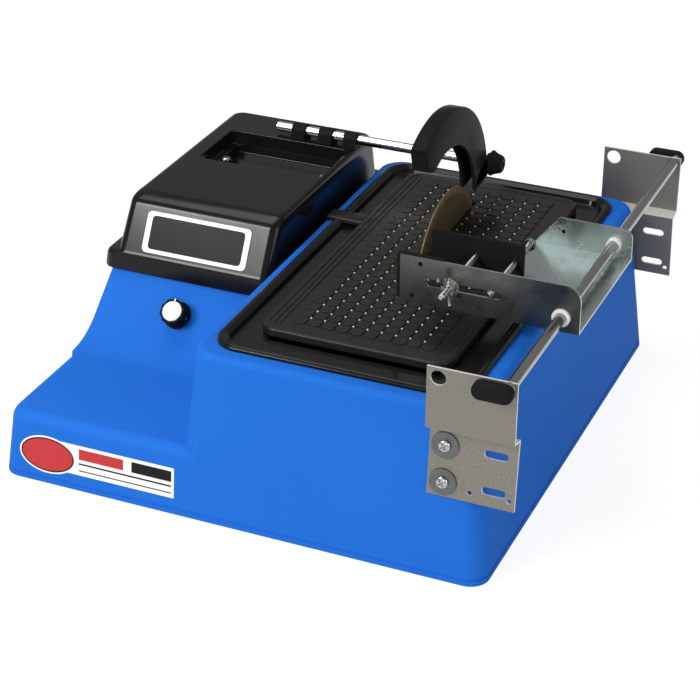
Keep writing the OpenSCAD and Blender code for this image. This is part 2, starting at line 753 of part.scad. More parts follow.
module arbor_nut() color("lightgray") difference() {
    translate([blade_x + blade_t / 2 + 8, axis_y, axis_z]) rotate([0, 90, 0]) cylinder(d = 21, h = 7, $fn = 6);
    rod_x_axis(blade_x, blade_x + 30, arbor_d, axis_y, axis_z);
}

module blade_core() color("#8a7b52") difference() {
    rod_x_axis(blade_x - blade_t / 2, blade_x + blade_t / 2, blade_d - 2 * rim_band, axis_y, axis_z);
    rod_x_axis(blade_x - 2, blade_x + 2, arbor_d, axis_y, axis_z);
}

module blade_rim() color("#9a865a") difference() {
    rod_x_axis(blade_x - rim_t / 2, blade_x + rim_t / 2, blade_d, axis_y, axis_z);
    rod_x_axis(blade_x - 2, blade_x + 2, blade_d - 2 * rim_band, axis_y, axis_z);
}

// ---- brackets and guide rod ----
module bracket_side() {
    c = cos(wall_angle);
    t = bracket_t;
    y_top = wall_y(low_top_z) - 0.1;
    y_low = wall_y(low_foot_z) - 0.1;
    h = 0.375 * t;      // half the sheet's height in the flat run of the joggle
    polygon([
        [y_low, low_foot_z], [y_low - t * c, low_foot_z], [y_top - t * c, low_top_z - h],
        [up_face_y, up_foot_z - h], [up_face_y, up_top_z], [up_face_y + t, up_top_z],
        [up_face_y + t, up_foot_z + h], [y_top, low_top_z + h]
    ]);
}

module one_bracket() difference() {
    along_x(bracket_x0, bracket_x1) bracket_side();
    rod_y_axis(up_face_y - 5, up_face_y + 8, 6.2, rod_x, rod_z);
    rod_y_axis(up_face_y - 5, up_face_y + 8, 13, bracket_x0 + 9.5, up_top_z - 9);
    for (z = washer_zs) on_front_wall(washer_x, z) translate([0, 0, -8]) cylinder(d = screw_d + 0.6, h = 16);
    for (z = washer_zs) on_front_wall(bracket_x1 - 18, z) translate([0, 0, -8]) linear_extrude(16) hull() {
        translate([-6.5, 0]) circle(d = 7);
        translate([6.5, 0]) circle(d = 7);
    }
    for (x = [bracket_x1 - 38, bracket_x1 - 5]) on_front_wall(x, low_foot_z + 8) translate([0, 0, -8]) cylinder(d = 4, h = 16);
}

module front_bracket() color("#8d877c") one_bracket();

module rear_bracket() color("#8d877c") mirror([0, 1, 0]) one_bracket();

module bracket_washers() color("silver") both_ends() for (z = washer_zs) on_front_wall(washer_x, z)
    difference() {
        translate([0, 0, bracket_t + 0.15]) cylinder(d = fender_d, h = washer_t);
        cylinder(d = screw_d + 0.4, h = 10);
    }

module bracket_screws() color("silver") both_ends() for (z = washer_zs) on_front_wall(washer_x, z) {
    translate([0, 0, bracket_t + washer_t + 0.15]) cylinder(d = 11, h = screw_head_h);
    translate([0, 0, -wall - 9]) cylinder(d = screw_d, h = wall + 9 + bracket_t + washer_t + 0.2);
}

module bracket_nuts() color("silver") both_ends() for (z = washer_zs) on_front_wall(washer_x, z)
    difference() {
        translate([0, 0, -wall - 7]) cylinder(d = 11.5, h = 5.4, $fn = 6);
        translate([0, 0, -20]) cylinder(d = screw_d, h = 20);
    }

rod_y_end = -up_face_y - bracket_t;

module guide_rod() color("silver") {
    rod_y_axis(-rod_y_end + clear / 3, rod_y_end - clear / 3, rod_d, rod_x, rod_z);
    both_ends() rod_y_axis(up_face_y - rod_end_nut_t - 8, -rod_y_end + 1, 6, rod_x, rod_z);
}

module rod_end_nuts() color("silver") both_ends() difference() {
    hex_y(up_face_y - rod_end_nut_t, up_face_y - 0.1, 10, rod_x, rod_z);
    rod_y_axis(up_face_y - 20, up_face_y + 5, 6, rod_x, rod_z);
}

module lever() {
    y1 = up_face_y - rod_end_nut_t - 0.4;
    difference() {
        union() {
            rod_y_axis(y1 - lever_t, y1, 13, rod_x, rod_z);
            along_y(y1 - lever_t, y1 - 1) translate([rod_x - lever_l, rod_z - 8.5])
                rect_round(0, 0, lever_l, 14, 6.5);
        }
        rod_y_axis(y1 - 8.2, y1 + 1, 6 + 2 * run_fit, rod_x, rod_z);
    }
}

module front_lever() color("#151515") lever();

module rear_lever() color("#151515") mirror([0, 1, 0]) lever();

// ---- vise ----
module vise_bushings() color("white") {
    for (end = [0, 1]) mirrored_bush(end == 0 ? vise_y0 : vise_y1, end);
}

module mirrored_bush(y, end) {
    s = end == 0 ? 1 : -1;
    difference() {
        union() {
            rod_y_axis(min(y - s * 3, y - s * run_fit), max(y - s * 3, y - s * run_fit), bush_flange_d, rod_x, rod_z);
            rod_y_axis(min(y - s, y + s * (sheet_t + 5)), max(y - s, y + s * (sheet_t + 5)),
                bush_hole_d - 2 * run_fit, rod_x, rod_z);
        }
        rod_y_axis(y - 12, y + 12, rod_d + 2 * run_fit, rod_x, rod_z);
    }
}

module vise_front_side() {
    r = 14;
    translate([vise_x0, vise_z]) square([vise_w, vise_h - r]);
    translate([vise_x0, vise_z]) square([vise_w - r, vise_h]);
    translate([vise_x1 - r, vise_z + vise_h - r]) circle(r);
}

module vise_rear_side() {
    r = 9;
    x0 = vise_x1 - floor_w;
    polygon([
        [x0, vise_z], [x0, vise_z + 3], [x0 + 21, vise_z + rear_wall_h],
        [vise_x1 - r, vise_z + rear_wall_h], [vise_x1, vise_z + rear_wall_h - r], [vise_x1, vise_z]
    ]);
    translate([vise_x1 - r, vise_z + rear_wall_h - r]) circle(r);
}

module vise_carriage() color("#a9b4ad") difference() {
    union() {
        along_y(vise_y0, vise_y0 + sheet_t) vise_front_side();
        along_y(vise_y1 - sheet_t, vise_y1) vise_rear_side();
        translate([vise_x1 - floor_w, vise_y0, vise_z]) cube([floor_w, vise_d, sheet_t]);
    }
    for (y = [vise_y0, vise_y1 - sheet_t]) rod_y_axis(y - 1, y + sheet_t + 1, bush_hole_d, rod_x, rod_z);
    along_y(vise_y0 - 1, vise_y0 + sheet_t + 1) union() {
        translate([slot_x0 + slot_h / 2, slot_z - slot_h / 2]) square([jaw_slot_l - slot_h, slot_h]);
        for (x = [slot_x0 + slot_h / 2, slot_x0 + jaw_slot_l - slot_h / 2]) translate([x, slot_z]) circle(d = slot_h);
    }
    rod_y_axis(vise_y0 - 1, vise_y0 + sheet_t + 1, 4, vise_x0 + 18, vise_z + vise_h - 5.5);
    rod_y_axis(vise_y0 - 1, vise_y0 + sheet_t + 1, 4, vise_x0 + 11, vise_z + 6.5);
    rod_y_axis(vise_y1 - sheet_t - 1, vise_y1 + 1, 4.5, vise_x1 - floor_w + 25, vise_z + 16);
}

module jaw_pad() color("#141414") {
    difference() {
        translate([vise_x0 - 3, vise_y0 + sheet_t + 0.1, vise_z + sheet_t]) cube([pad_w, pad_t - 0.2, vise_h - 1]);
        // way for the clamp screw
        translate([slot_x0 - 0.4, vise_y0, slot_z - slot_h / 2 - 0.4]) cube([pad_w, sheet_t + pad_t + 1, slot_h + 0.8]);
    }
    translate([vise_x0 - 3, vise_y0, vise_z + sheet_t]) cube([2.8, sheet_t + 1, vise_h - sheet_t]);
}

module wing_nut_washer() color("silver") difference() {
    rod_y_axis(vise_y0 - 1.6, vise_y0 - 0.1, 16, clamp_x, slot_z);
    rod_y_axis(vise_y0 - 3, vise_y0 + 1, clamp_d + 0.4, clamp_x, slot_z);
}

module wing_nut() color("silver") {
    y1 = vise_y0 - 1.8;
    difference() {
        union() {
            rod_y_axis(y1 - 5, y1, 11, clamp_x, slot_z);
            for (side = [0, 180]) translate([clamp_x, 0, slot_z]) rotate([0, side + 62, 0]) wing(y1);
        }
        rod_y_axis(y1 - 20, y1 + 2, clamp_d + 2 * run_fit, clamp_x, slot_z);
    }
}

module wing(y1) {
    translate([0, 0, -1.2]) linear_extrude(2.4)
        polygon([[3.4, y1 - 1], [6, y1 - 1.6], [13, y1 - 8], [13.6, y1 - 11.5], [11, y1 - 12.5], [7, y1 - 9], [3.4, y1 - 5]]);
}

module moving_jaw() color("#141414") difference() {
    translate([jaw_x0, jaw_y0, vise_z + sheet_t + 0.4]) cube([jaw_x1 - jaw_x0, jaw_t, vise_h - jaw_drop - sheet_t - 0.4]);
    rod_y_axis(jaw_y0 - 1, jaw_y0 + jaw_t + 1, clamp_d, clamp_x, slot_z);
    rod_y_axis(jaw_y0 - 1, jaw_y0 + jaw_t + 1, clamp_d + 2 * run_fit, jack_x, slot_z);
}

module clamp_screw() color("silver")
    rod_y_axis(vise_y0 - 21, jaw_y0 + jaw_t + nut_t + 2, clamp_d, clamp_x, slot_z);

module clamp_screw_nut() color("silver") difference() {
    hex_y(jaw_y0 + jaw_t + 0.05, jaw_y0 + jaw_t + nut_t, 10, clamp_x, slot_z);
    rod_y_axis(jaw_y0, jaw_y0 + 30, clamp_d, clamp_x, slot_z);
}

module jack_screw() color("silver")
    rod_y_axis(vise_y0 + sheet_t + clear, jack_y1, clamp_d, jack_x, slot_z);

module jack_nut() color("silver") difference() {
    hex_y(jack_y1 - 3 - nut_t, jack_y1 - 3, 10, jack_x, slot_z);
    rod_y_axis(jack_y1 - 20, jack_y1 + 1, clamp_d, jack_x, slot_z);
}

// ---- guard ----
guard_rod_stop = blade_x - guard_t / 2 - 0.6;

module guard_rod() color("silver") {
    rod_x_axis(guard_rod_x0, guard_rod_stop, guard_rod_d, pivot_y, pivot_z);
    rod_x_axis(guard_rod_stop - 1, pivot_x1 + 10, 6, pivot_y, pivot_z);
}

module guard_rod_clips() color("#161616") for (x = clip_xs) difference() {
    union() {
        rod_x_axis(x - clip_w / 2, x + clip_w / 2, guard_rod_d + 4, pivot_y, pivot_z);
        translate([x - clip_w / 2, pivot_y - 9, cover_top + 0.1]) cube([clip_w, 18, pivot_z - cover_top - 2]);
    }
    rod_x_axis(x - clip_w, x + clip_w, guard_rod_d, pivot_y, pivot_z);
}

// the front end, from the arc's centre: it stands upright and is closed by a web
guard_chin = [-46.5, 73.5];
guard_nose = guard_chin + [-7, 24];

module guard_outline(r0, r1) {
    intersection() {
        difference() {
            circle(r1, $fn = 128);
            circle(r0, $fn = 128);
        }
        polygon([
            [0, 4], [2 * guard_r, 12], [2 * guard_r, 2 * guard_r], [-2 * guard_r * 0.2, 2 * guard_r],
            guard_nose, guard_chin, guard_chin + [24, -9.6]
        ]);
    }
}

module blade_guard() color("#161616") difference() {
    union() {
        for (x = [blade_x - guard_t / 2, blade_x + guard_t / 2 - guard_wall])
            along_x(x, x + guard_wall) union() {
                translate([guard_cy, guard_cz]) guard_outline(guard_inner_r, guard_r);
                translate([pivot_y, pivot_z]) circle(9);
                translate([pivot_y - 30, pivot_z - 9]) square([30, 12]);
            }
        along_x(blade_x - guard_t / 2, blade_x + guard_t / 2)
            translate([guard_cy, guard_cz]) union() {
                guard_outline(guard_r - guard_wall, guard_r);
                intersection() {
                    guard_outline(guard_inner_r, guard_r);
                    polygon([
                        guard_nose + [-3, 5], guard_chin + [-3, -6], guard_chin + [guard_wall, -6], guard_nose + [guard_wall, 5]
                    ]);
                }
            }
    }
    rod_x_axis(blade_x - guard_t, blade_x + guard_t, 6 + 2 * run_fit, pivot_y, pivot_z);
}

module guard_knob() color("#161616") difference() {
    union() {
        rod_x_axis(pivot_x1 + 0.4, pivot_x1 + 4, guard_knob_d, pivot_y, pivot_z);
        translate([pivot_x1 + 4 - eps, pivot_y, pivot_z]) rotate([0, 90, 0])
            rotate_extrude() polygon([[0, 0], [guard_knob_d / 2, 0], [guard_knob_d / 2 - 5, 9], [0, 9]]);
    }
    rod_x_axis(pivot_x1 - 1, pivot_x1 + 10.5, 6 + 2 * run_fit, pivot_y, pivot_z);
}

// ---- speed knob ----
module speed_knob() color("#111111") difference() {
    union() {
        on_slope(knob_x, knob_z, 2) rotate_extrude()
            polygon([[0, 0], [speed_knob_d / 2, 0], [speed_knob_d / 2, 2], [speed_knob_d / 2 - 2, speed_knob_h], [0, speed_knob_h]]);
    }
    on_slope(knob_x, knob_z, 2 + speed_knob_h - 0.8) cylinder(d = cap_d, h = 3);
    on_slope(knob_x, knob_z, 1) cylinder(d = 6, h = 8);
}

module speed_knob_cap() color("#e8e8e8") {
    on_slope(knob_x, knob_z, 2 + speed_knob_h - 0.8) cylinder(d = cap_d, h = 1.2);
}

housing_shell();
base_plate();
base_screws();
motor_cover();
cover_screws();
name_plate();
side_decal();
drive_frame();
drive_frame_screws();
motor_body();
motor_screws();
speed_controller();
speed_pot();
cord_gland();
water_tray();
work_table();
arbor_housing();
arbor_screws();
arbor_bearings();
shaft_seal();
motor_shaft();
shaft_coupling();
arbor_shaft();
blade_flanges();
arbor_nut();
blade_core();
blade_rim();
front_bracket();
rear_bracket();
bracket_washers();
bracket_screws();
bracket_nuts();
guide_rod();
rod_end_nuts();
front_lever();
rear_lever();
vise_bushings();
vise_carriage();
jaw_pad();
wing_nut_washer();
wing_nut();
moving_jaw();
clamp_screw();
clamp_screw_nut();
jack_screw();
jack_nut();
guard_rod();
guard_rod_clips();
blade_guard();
guard_knob();
speed_knob();
speed_knob_cap();
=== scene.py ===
import json
import math

import bmesh
import bpy
from mathutils import Matrix, Vector


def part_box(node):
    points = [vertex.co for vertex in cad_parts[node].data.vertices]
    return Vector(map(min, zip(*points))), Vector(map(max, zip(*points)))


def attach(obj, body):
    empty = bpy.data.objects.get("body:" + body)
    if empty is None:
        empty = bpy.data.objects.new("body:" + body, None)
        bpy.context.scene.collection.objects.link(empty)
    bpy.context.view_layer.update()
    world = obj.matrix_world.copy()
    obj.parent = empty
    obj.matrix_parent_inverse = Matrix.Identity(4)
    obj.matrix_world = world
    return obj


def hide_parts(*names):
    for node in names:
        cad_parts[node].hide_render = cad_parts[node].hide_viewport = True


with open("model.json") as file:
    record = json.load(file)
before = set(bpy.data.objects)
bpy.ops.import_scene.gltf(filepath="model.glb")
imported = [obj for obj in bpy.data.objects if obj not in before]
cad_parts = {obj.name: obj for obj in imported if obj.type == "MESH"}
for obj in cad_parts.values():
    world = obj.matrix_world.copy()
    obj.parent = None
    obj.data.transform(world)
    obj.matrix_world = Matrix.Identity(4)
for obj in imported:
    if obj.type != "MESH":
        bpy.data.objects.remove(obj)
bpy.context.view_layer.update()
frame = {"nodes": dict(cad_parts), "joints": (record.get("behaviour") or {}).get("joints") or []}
nodes = frame["nodes"]
print("frame loaded:", len(nodes), "nodes")

mm = 0.001      # sizes below are in mm unless they say otherwise

# camera
camera = {
    "place": (0.6623, -1.5416, 0.9773),
    "azimuth": 22.97,       # degrees to the right of straight ahead
    "elevation": 28.81,
    "roll": 0.39,
    "lens": 107.35,         # mm on a 36 mm sensor
}


def addCamera(c):
    data = bpy.data.cameras.new("sawCamera")
    data.lens = c["lens"]
    data.sensor_width = 36
    data.clip_end = 20
    cam = bpy.data.objects.new("sawCamera", data)
    turn = Matrix.Rotation(math.radians(c["azimuth"]), 4, "Z")
    tilt = Matrix.Rotation(math.radians(90 - c["elevation"]), 4, "X")
    roll = Matrix.Rotation(math.radians(c["roll"]), 4, "Z")
    cam.matrix_world = Matrix.Translation(c["place"]) @ turn @ tilt @ roll
    bpy.context.scene.collection.objects.link(cam)
    bpy.context.scene.camera = cam


addCamera(camera)

# finishes
# colour and shade are mixed by a slow noise: patch is its scale, rough the roughness at its two ends
# grain is the scale of the bump, bump its strength, depth its height in metres
# gloss is the strength of the plain reflection, 0.5 where none is given
finishes = {
    "blueMoulding": {"colour": (0.019, 0.146, 0.585), "shade": (0.014, 0.124, 0.52), "patch": 6,
                     "rough": (0.40, 0.50), "gloss": 0.012, "grain": 1100, "bump": 0.08, "depth": 0.0002},
    "glossBlack": {"colour": (0.0050, 0.0050, 0.0053), "shade": (0.0075, 0.007, 0.0065), "patch": 9,
                   "rough": (0.12, 0.22), "gloss": 0.2, "grain": 260, "bump": 0.015, "depth": 0.0003},
    "satinBlack": {"colour": (0.010, 0.010, 0.0105), "shade": (0.014, 0.014, 0.0145), "patch": 30,
                   "rough": (0.26, 0.38), "gloss": 0.014, "grain": 1400, "bump": 0.1, "depth": 0.0001},
    "tableBlack": {"colour": (0.0095, 0.0095, 0.009), "shade": (0.017, 0.014, 0.011), "patch": 14,
                   "rough": (0.22, 0.38), "gloss": 0.2, "grain": 700, "bump": 0.08, "depth": 0.0002},
    # light dots where the table's pads meet: painted glints
    "paintedGlint": {"colour": (0.62, 0.60, 0.52), "shade": (0.30, 0.28, 0.22), "patch": 90,
                  "rough": (0.15, 0.25), "grain": 700, "bump": 0.05, "depth": 0.0001},
    "guardBar": {"colour": (0.62, 0.62, 0.60), "shade": (0.50, 0.50, 0.48), "patch": 40,
                 "rough": (0.12, 0.24), "metal": 1, "grain": 500, "bump": 0.01, "depth": 0.0001,
                 "stretch": (0.06, 1, 1)},
    "whiteNylon": {"colour": (0.72, 0.72, 0.69), "shade": (0.66, 0.66, 0.62), "patch": 60,
                   "rough": (0.4, 0.5), "grain": 900, "bump": 0.03, "depth": 0.0001},
    "darkSheet": {"colour": (0.03, 0.03, 0.033), "shade": (0.04, 0.04, 0.042), "patch": 12,
                  "rough": (0.5, 0.62), "grain": 1200, "bump": 0.1, "depth": 0.0002},
    "stainless": {"colour": (0.27, 0.255, 0.22), "shade": (0.16, 0.15, 0.125), "patch": 620,
                  "rough": (0.42, 0.60), "metal": 0.72, "grain": 1500, "bump": 0.25, "depth": 0.0001,
                  "stretch": (1, 1, 0.5)},
    # a lighter metal for the brackets' edges, holes and bend: painted highlight
    "edgeHighlight": {"colour": (0.80, 0.78, 0.73), "shade": (0.60, 0.58, 0.54), "patch": 300,
                "rough": (0.34, 0.5), "metal": 0.5, "grain": 1500, "bump": 0.1, "depth": 0.0001},
    "zincSheet": {"colour": (0.50, 0.565, 0.55), "shade": (0.40, 0.455, 0.445), "patch": 34,
                  "rough": (0.24, 0.31), "metal": 1, "grain": 420, "bump": 0.02, "depth": 0.0001,
                  "spangle": 0.1, "stretch": (0.08, 1, 1)},
    # the same zinc as the carriage, darker: painted shade for the vise's front wall
    "zincFrontShade": {"colour": (0.16, 0.168, 0.16), "shade": (0.085, 0.09, 0.085), "patch": 60,
                  "rough": (0.22, 0.40), "metal": 1, "grain": 520, "bump": 0.2, "depth": 0.0001,
                  "stretch": (1, 1, 0.06)},
    "polishedBar": {"colour": (0.40, 0.40, 0.39), "shade": (0.26, 0.26, 0.25), "patch": 40,
                    "rough": (0.10, 0.22), "metal": 1, "grain": 500, "bump": 0.02, "depth": 0.0001,
                    "stretch": (1, 0.06, 1)},
    "zincBolt": {"colour": (0.50, 0.50, 0.48), "shade": (0.34, 0.34, 0.33), "patch": 120,
                 "rough": (0.18, 0.32), "metal": 1, "grain": 1500, "bump": 0.04, "depth": 0.0001},
    "washerZinc": {"colour": (0.17, 0.175, 0.17), "shade": (0.11, 0.115, 0.11), "patch": 110,
                   "rough": (0.32, 0.46), "metal": 1, "grain": 1500, "bump": 0.08, "depth": 0.0001},
    "bladeSteel": {"colour": (0.125, 0.088, 0.042), "shade": (0.07, 0.048, 0.024), "patch": 30,
                   "rough": (0.3, 0.5), "metal": 0.35, "grain": 500, "bump": 0.08, "depth": 0.0001},
    "diamondRim": {"colour": (0.21, 0.155, 0.075), "shade": (0.11, 0.08, 0.04), "patch": 400,
                   "rough": (0.5, 0.7), "metal": 0.6, "grain": 2600, "bump": 0.4, "depth": 0.0002},
    "motorPaint": {"colour": (0.05, 0.052, 0.055), "shade": (0.07, 0.07, 0.075), "patch": 20,
                   "rough": (0.4, 0.5), "grain": 1200, "bump": 0.1, "depth": 0.0001},
    "framePaint": {"colour": (0.20, 0.22, 0.24), "shade": (0.16, 0.18, 0.20), "patch": 20,
                   "rough": (0.4, 0.52), "grain": 1200, "bump": 0.1, "depth": 0.0001},
    "turnedAluminium": {"colour": (0.66, 0.67, 0.68), "shade": (0.58, 0.59, 0.60), "patch": 60,
                        "rough": (0.25, 0.36), "metal": 1, "grain": 1200, "bump": 0.05, "depth": 0.0001,
                        "stretch": (0.05, 1, 1)},
    "circuitGreen": {"colour": (0.02, 0.13, 0.05), "shade": (0.03, 0.17, 0.07), "patch": 90,
                     "rough": (0.3, 0.45), "grain": 900, "bump": 0.05, "depth": 0.0001},
    "plateWhite": {"colour": (0.80, 0.80, 0.78), "shade": (0.74, 0.74, 0.72), "patch": 40,
                   "rough": (0.26, 0.36), "grain": 900, "bump": 0.02, "depth": 0.0001},
    "plateDark": {"colour": (0.012, 0.011, 0.010), "shade": (0.022, 0.020, 0.018), "patch": 22,
                  "rough": (0.16, 0.28), "gloss": 0.05, "grain": 900, "bump": 0.02, "depth": 0.0001},
    "decalRed": {"colour": (0.50, 0.012, 0.02), "shade": (0.40, 0.01, 0.015), "patch": 40,
                 "rough": (0.26, 0.36), "grain": 900, "bump": 0.02, "depth": 0.0001},
}


def makeFinish(name, f):
    mat = bpy.data.materials.new(name)
    mat.use_nodes = True
    tree = mat.node_tree
    tree.nodes.clear()
    out = tree.nodes.new("ShaderNodeOutputMaterial")
    shader = tree.nodes.new("ShaderNodeBsdfPrincipled")
    tree.links.new(shader.outputs["BSDF"], out.inputs["Surface"])
    shader.inputs["Metallic"].default_value = f.get("metal", 0)
    shader.inputs["Specular IOR Level"].default_value = f.get("gloss", 0.5)
    where = tree.nodes.new("ShaderNodeTexCoord")
    patch = tree.nodes.new("ShaderNodeTexNoise")
    patch.inputs["Scale"].default_value = f["patch"]
    patch.inputs["Detail"].default_value = 4
    tree.links.new(where.outputs["Object"], patch.inputs["Vector"])
    mix = tree.nodes.new("ShaderNodeMix")
    mix.data_type = "RGBA"
    mix.inputs["A"].default_value = (*f["colour"], 1)
    mix.inputs["B"].default_value = (*f["shade"], 1)
    if f.get("spangle"):    # zinc crystals
        cells = tree.nodes.new("ShaderNodeTexVoronoi")
        cells.inputs["Scale"].default_value = f["patch"] * 1.6
        blend = tree.nodes.new("ShaderNodeMath")
        blend.operation = "MULTIPLY_ADD"
        tree.links.new(where.outputs["Object"], cells.inputs["Vector"])
        tree.links.new(cells.outputs["Distance"], blend.inputs[0])
        blend.inputs[1].default_value = f["spangle"]
        tree.links.new(patch.outputs["Fac"], blend.inputs[2])
        tree.links.new(blend.outputs[0], mix.inputs["Factor"])
    else:
        tree.links.new(patch.outputs["Fac"], mix.inputs["Factor"])
    tree.links.new(mix.outputs["Result"], shader.inputs["Base Color"])
    rough = tree.nodes.new("ShaderNodeMapRange")
    rough.inputs["From Min"].default_value = 0.3        # most of the noise lies between these two
    rough.inputs["From Max"].default_value = 0.7
    rough.inputs["To Min"].default_value = f["rough"][0]
    rough.inputs["To Max"].default_value = f["rough"][1]
    tree.links.new(patch.outputs["Fac"], rough.inputs["Value"])
    tree.links.new(rough.outputs["Result"], shader.inputs["Roughness"])
    stretch = tree.nodes.new("ShaderNodeMapping")
    stretch.inputs["Scale"].default_value = f.get("stretch", (1, 1, 1))
    grain = tree.nodes.new("ShaderNodeTexNoise")
    grain.inputs["Scale"].default_value = f["grain"]
    grain.inputs["Detail"].default_value = 2
    bump = tree.nodes.new("ShaderNodeBump")
    bump.inputs["Strength"].default_value = f["bump"]
    bump.inputs["Distance"].default_value = f["depth"]
    tree.links.new(where.outputs["Object"], stretch.inputs["Vector"])
    tree.links.new(stretch.outputs["Vector"], grain.inputs["Vector"])
    tree.links.new(grain.outputs["Fac"], bump.inputs["Height"])
    tree.links.new(bump.outputs["Normal"], shader.inputs["Normal"])
    return mat


mats = {name: makeFinish(name, f) for name, f in finishes.items()}
print("finishes made:", len(mats))


# shape helpers
def newPiece(name, bm, finish, body, replaces=(), sharp=35):
    mesh = bpy.data.meshes.new(name)
    bmesh.ops.recalc_face_normals(bm, faces=bm.faces)
    bm.to_mesh(mesh)
    bm.free()
    piece = bpy.data.objects.new(name, mesh)
    bpy.context.scene.collection.objects.link(piece)
    mesh.materials.append(mats[finish])
    shadeByAngle(piece, sharp)
    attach(piece, body)
    if replaces:
        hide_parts(*replaces)
    return piece


def shadeByAngle(piece, degrees):
    mesh = piece.data
    bm = bmesh.new()
    bm.from_mesh(mesh)
    limit = math.radians(degrees)
    for f in bm.faces:
        f.smooth = True
    for e in bm.edges:
        e.smooth = not (len(e.link_faces) == 2 and e.calc_face_angle(0) > limit)
    bm.to_mesh(mesh)
    bm.free()


def applyAll(piece):
    dg = bpy.context.evaluated_depsgraph_get()
    done = bpy.data.meshes.new_from_object(piece.evaluated_get(dg), depsgraph=dg)
    piece.modifiers.clear()
    old = piece.data
    piece.data = done
    bpy.data.meshes.remove(old)


def evenShade(piece, degrees):
    # big flat faces stay flat beside their rounded edges
    shadeByAngle(piece, degrees)
    mod = piece.modifiers.new("even", "WEIGHTED_NORMAL")
    mod.mode = "FACE_AREA"
    mod.weight = 100
    mod.keep_sharp = True
    applyAll(piece)


def cutWith(piece, cutters, operation="DIFFERENCE"):
    for c in cutters:
        mod = piece.modifiers.new("cut", "BOOLEAN")
        mod.operation = operation
        mod.solver = "EXACT"
        mod.object = c
    bpy.context.view_layer.update()
    applyAll(piece)
    for c in cutters:
        bpy.data.objects.remove(c)


def looseSolid(bm):
    mesh = bpy.data.meshes.new("cutter")
    bmesh.ops.recalc_face_normals(bm, faces=bm.faces)
    bm.to_mesh(mesh)
    bm.free()
    obj = bpy.data.objects.new("cutter", mesh)
    bpy.context.scene.collection.objects.link(obj)
    return obj


easing = {"join": 0.01, "flat": 0.8, "edge": 28, "segments": 2, "sharp": 40}      # mm, then degrees


def softCopy(node, finish, body, width):
    # the same solid with its hard edges eased
    bm = bmesh.new()
    bm.from_mesh(nodes[node].data)
    bmesh.ops.remove_doubles(bm, verts=bm.verts, dist=easing["join"] * mm)
    bmesh.ops.dissolve_limit(bm, angle_limit=math.radians(easing["flat"]), verts=bm.verts, edges=bm.edges)
    mesh = bpy.data.meshes.new(node)
    bm.to_mesh(mesh)
    bm.free()
    piece = bpy.data.objects.new(node + "Eased", mesh)
    bpy.context.scene.collection.objects.link(piece)
    mesh.materials.clear()
    mesh.materials.append(mats[finish])
    mod = piece.modifiers.new("ease", "BEVEL")
    mod.width = width * mm
    mod.segments = easing["segments"]
    mod.limit_method = "ANGLE"
    mod.angle_limit = math.radians(easing["edge"])
    mod.use_clamp_overlap = True
    applyAll(piece)
    evenShade(piece, easing["sharp"])
    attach(piece, body)
    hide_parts(node)


def roundRing(x0, y0, x1, y1, r, z, steps=8):
    # corner by corner, counter-clockwise from the front right
    r = max(min(r, (x1 - x0) / 2 - 0.01, (y1 - y0) / 2 - 0.01), 0.05)
    ring = []
    corners = ((x1 - r, y0 + r, -90), (x1 - r, y1 - r, 0), (x0 + r, y1 - r, 90), (x0 + r, y0 + r, 180))
    for cx, cy, a0 in corners:
        for i in range(steps + 1):
            a = math.radians(a0 + 90 * i / steps)
            ring.append((cx + r * math.cos(a), cy + r * math.sin(a), z))
    return ring


def loft(bm, rings, capFirst, capLast, scale=mm, place=None):
    rows = []
    for ring in rings:
        points = [Vector(p) * scale for p in ring]
        rows.append([bm.verts.new(q if place is None else place @ q) for q in points])
    n = len(rows[0])
    for a, b in zip(rows, rows[1:]):
        for i in range(n):
            bm.faces.new((a[i], a[(i + 1) % n], b[(i + 1) % n], b[i]))
    if capFirst:
        bm.faces.new(list(reversed(rows[0])))
    if capLast:
        bm.faces.new(rows[-1])


def easedPath(points):
    # points are (d, z) or (d, z, radius): corners become arcs of that radius
    steps = 5
    path = []
    for i, p in enumerate(points):
        if i in (0, len(points) - 1) or len(p) < 3:
            path.append((p[0], p[1]))
            continue
        here = Vector(p[:2])
        before = Vector(points[i - 1][:2]) - here
        after = Vector(points[i + 1][:2]) - here
        half = before.angle(after) / 2
        reach = min(p[2] / max(math.tan(half), 0.05), before.length * 0.49, after.length * 0.49)
        a = here + before.normalized() * reach
        b = here + after.normalized() * reach
        for k in range(steps + 1):
            t = k / steps
            q = a * (1 - t) ** 2 + here * 2 * t * (1 - t) + b * t ** 2
            path.append((q.x, q.y))
    return path


def lathe(bm, profile, steps, place, wave=None):
    # profile is (radius, height) from foot to top; wave(angle, height) scales the radius
    rings = []
    for r, h in profile:
        ring = []
        for i in range(steps):
            a = 2 * math.pi * i / steps
            k = wave(a, h) if wave else 1
            ring.append((r * k * math.cos(a), r * k * math.sin(a), h))
        rings.append(ring)
    loft(bm, rings, capFirst=True, capLast=True, place=place)


def toward(origin, direction):
    # a place whose Z runs along direction
    z = Vector(direction).normalized()
    return Matrix.Translation(Vector(origin) * mm) @ z.to_track_quat("Z", "Y").to_matrix().to_4x4()


def prism(bm, outline, depth, place):
    # a flat outline (x, y) raised by depth along the local Z
    low = [bm.verts.new(place @ (Vector((x, y, 0)) * mm)) for x, y in outline]
    high = [bm.verts.new(place @ (Vector((x, y, depth)) * mm)) for x, y in outline]
    n = len(outline)
    bm.faces.new(list(reversed(low)))
    bm.faces.new(high)
    for i in range(n):
        bm.faces.new((low[i], low[(i + 1) % n], high[(i + 1) % n], high[i]))


def slab(bm, outline, x0, x1):
    # an upright outline (y, z) that is solid from x0 to x1
    low = [bm.verts.new(Vector((x0, y, z)) * mm) for y, z in outline]
    high = [bm.verts.new(Vector((x1, y, z)) * mm) for y, z in outline]
    bm.faces.new(low)
    bm.faces.new(list(reversed(high)))
    for i in range(len(outline)):
        j = (i + 1) % len(outline)
        bm.faces.new((low[i], high[i], high[j], low[j]))


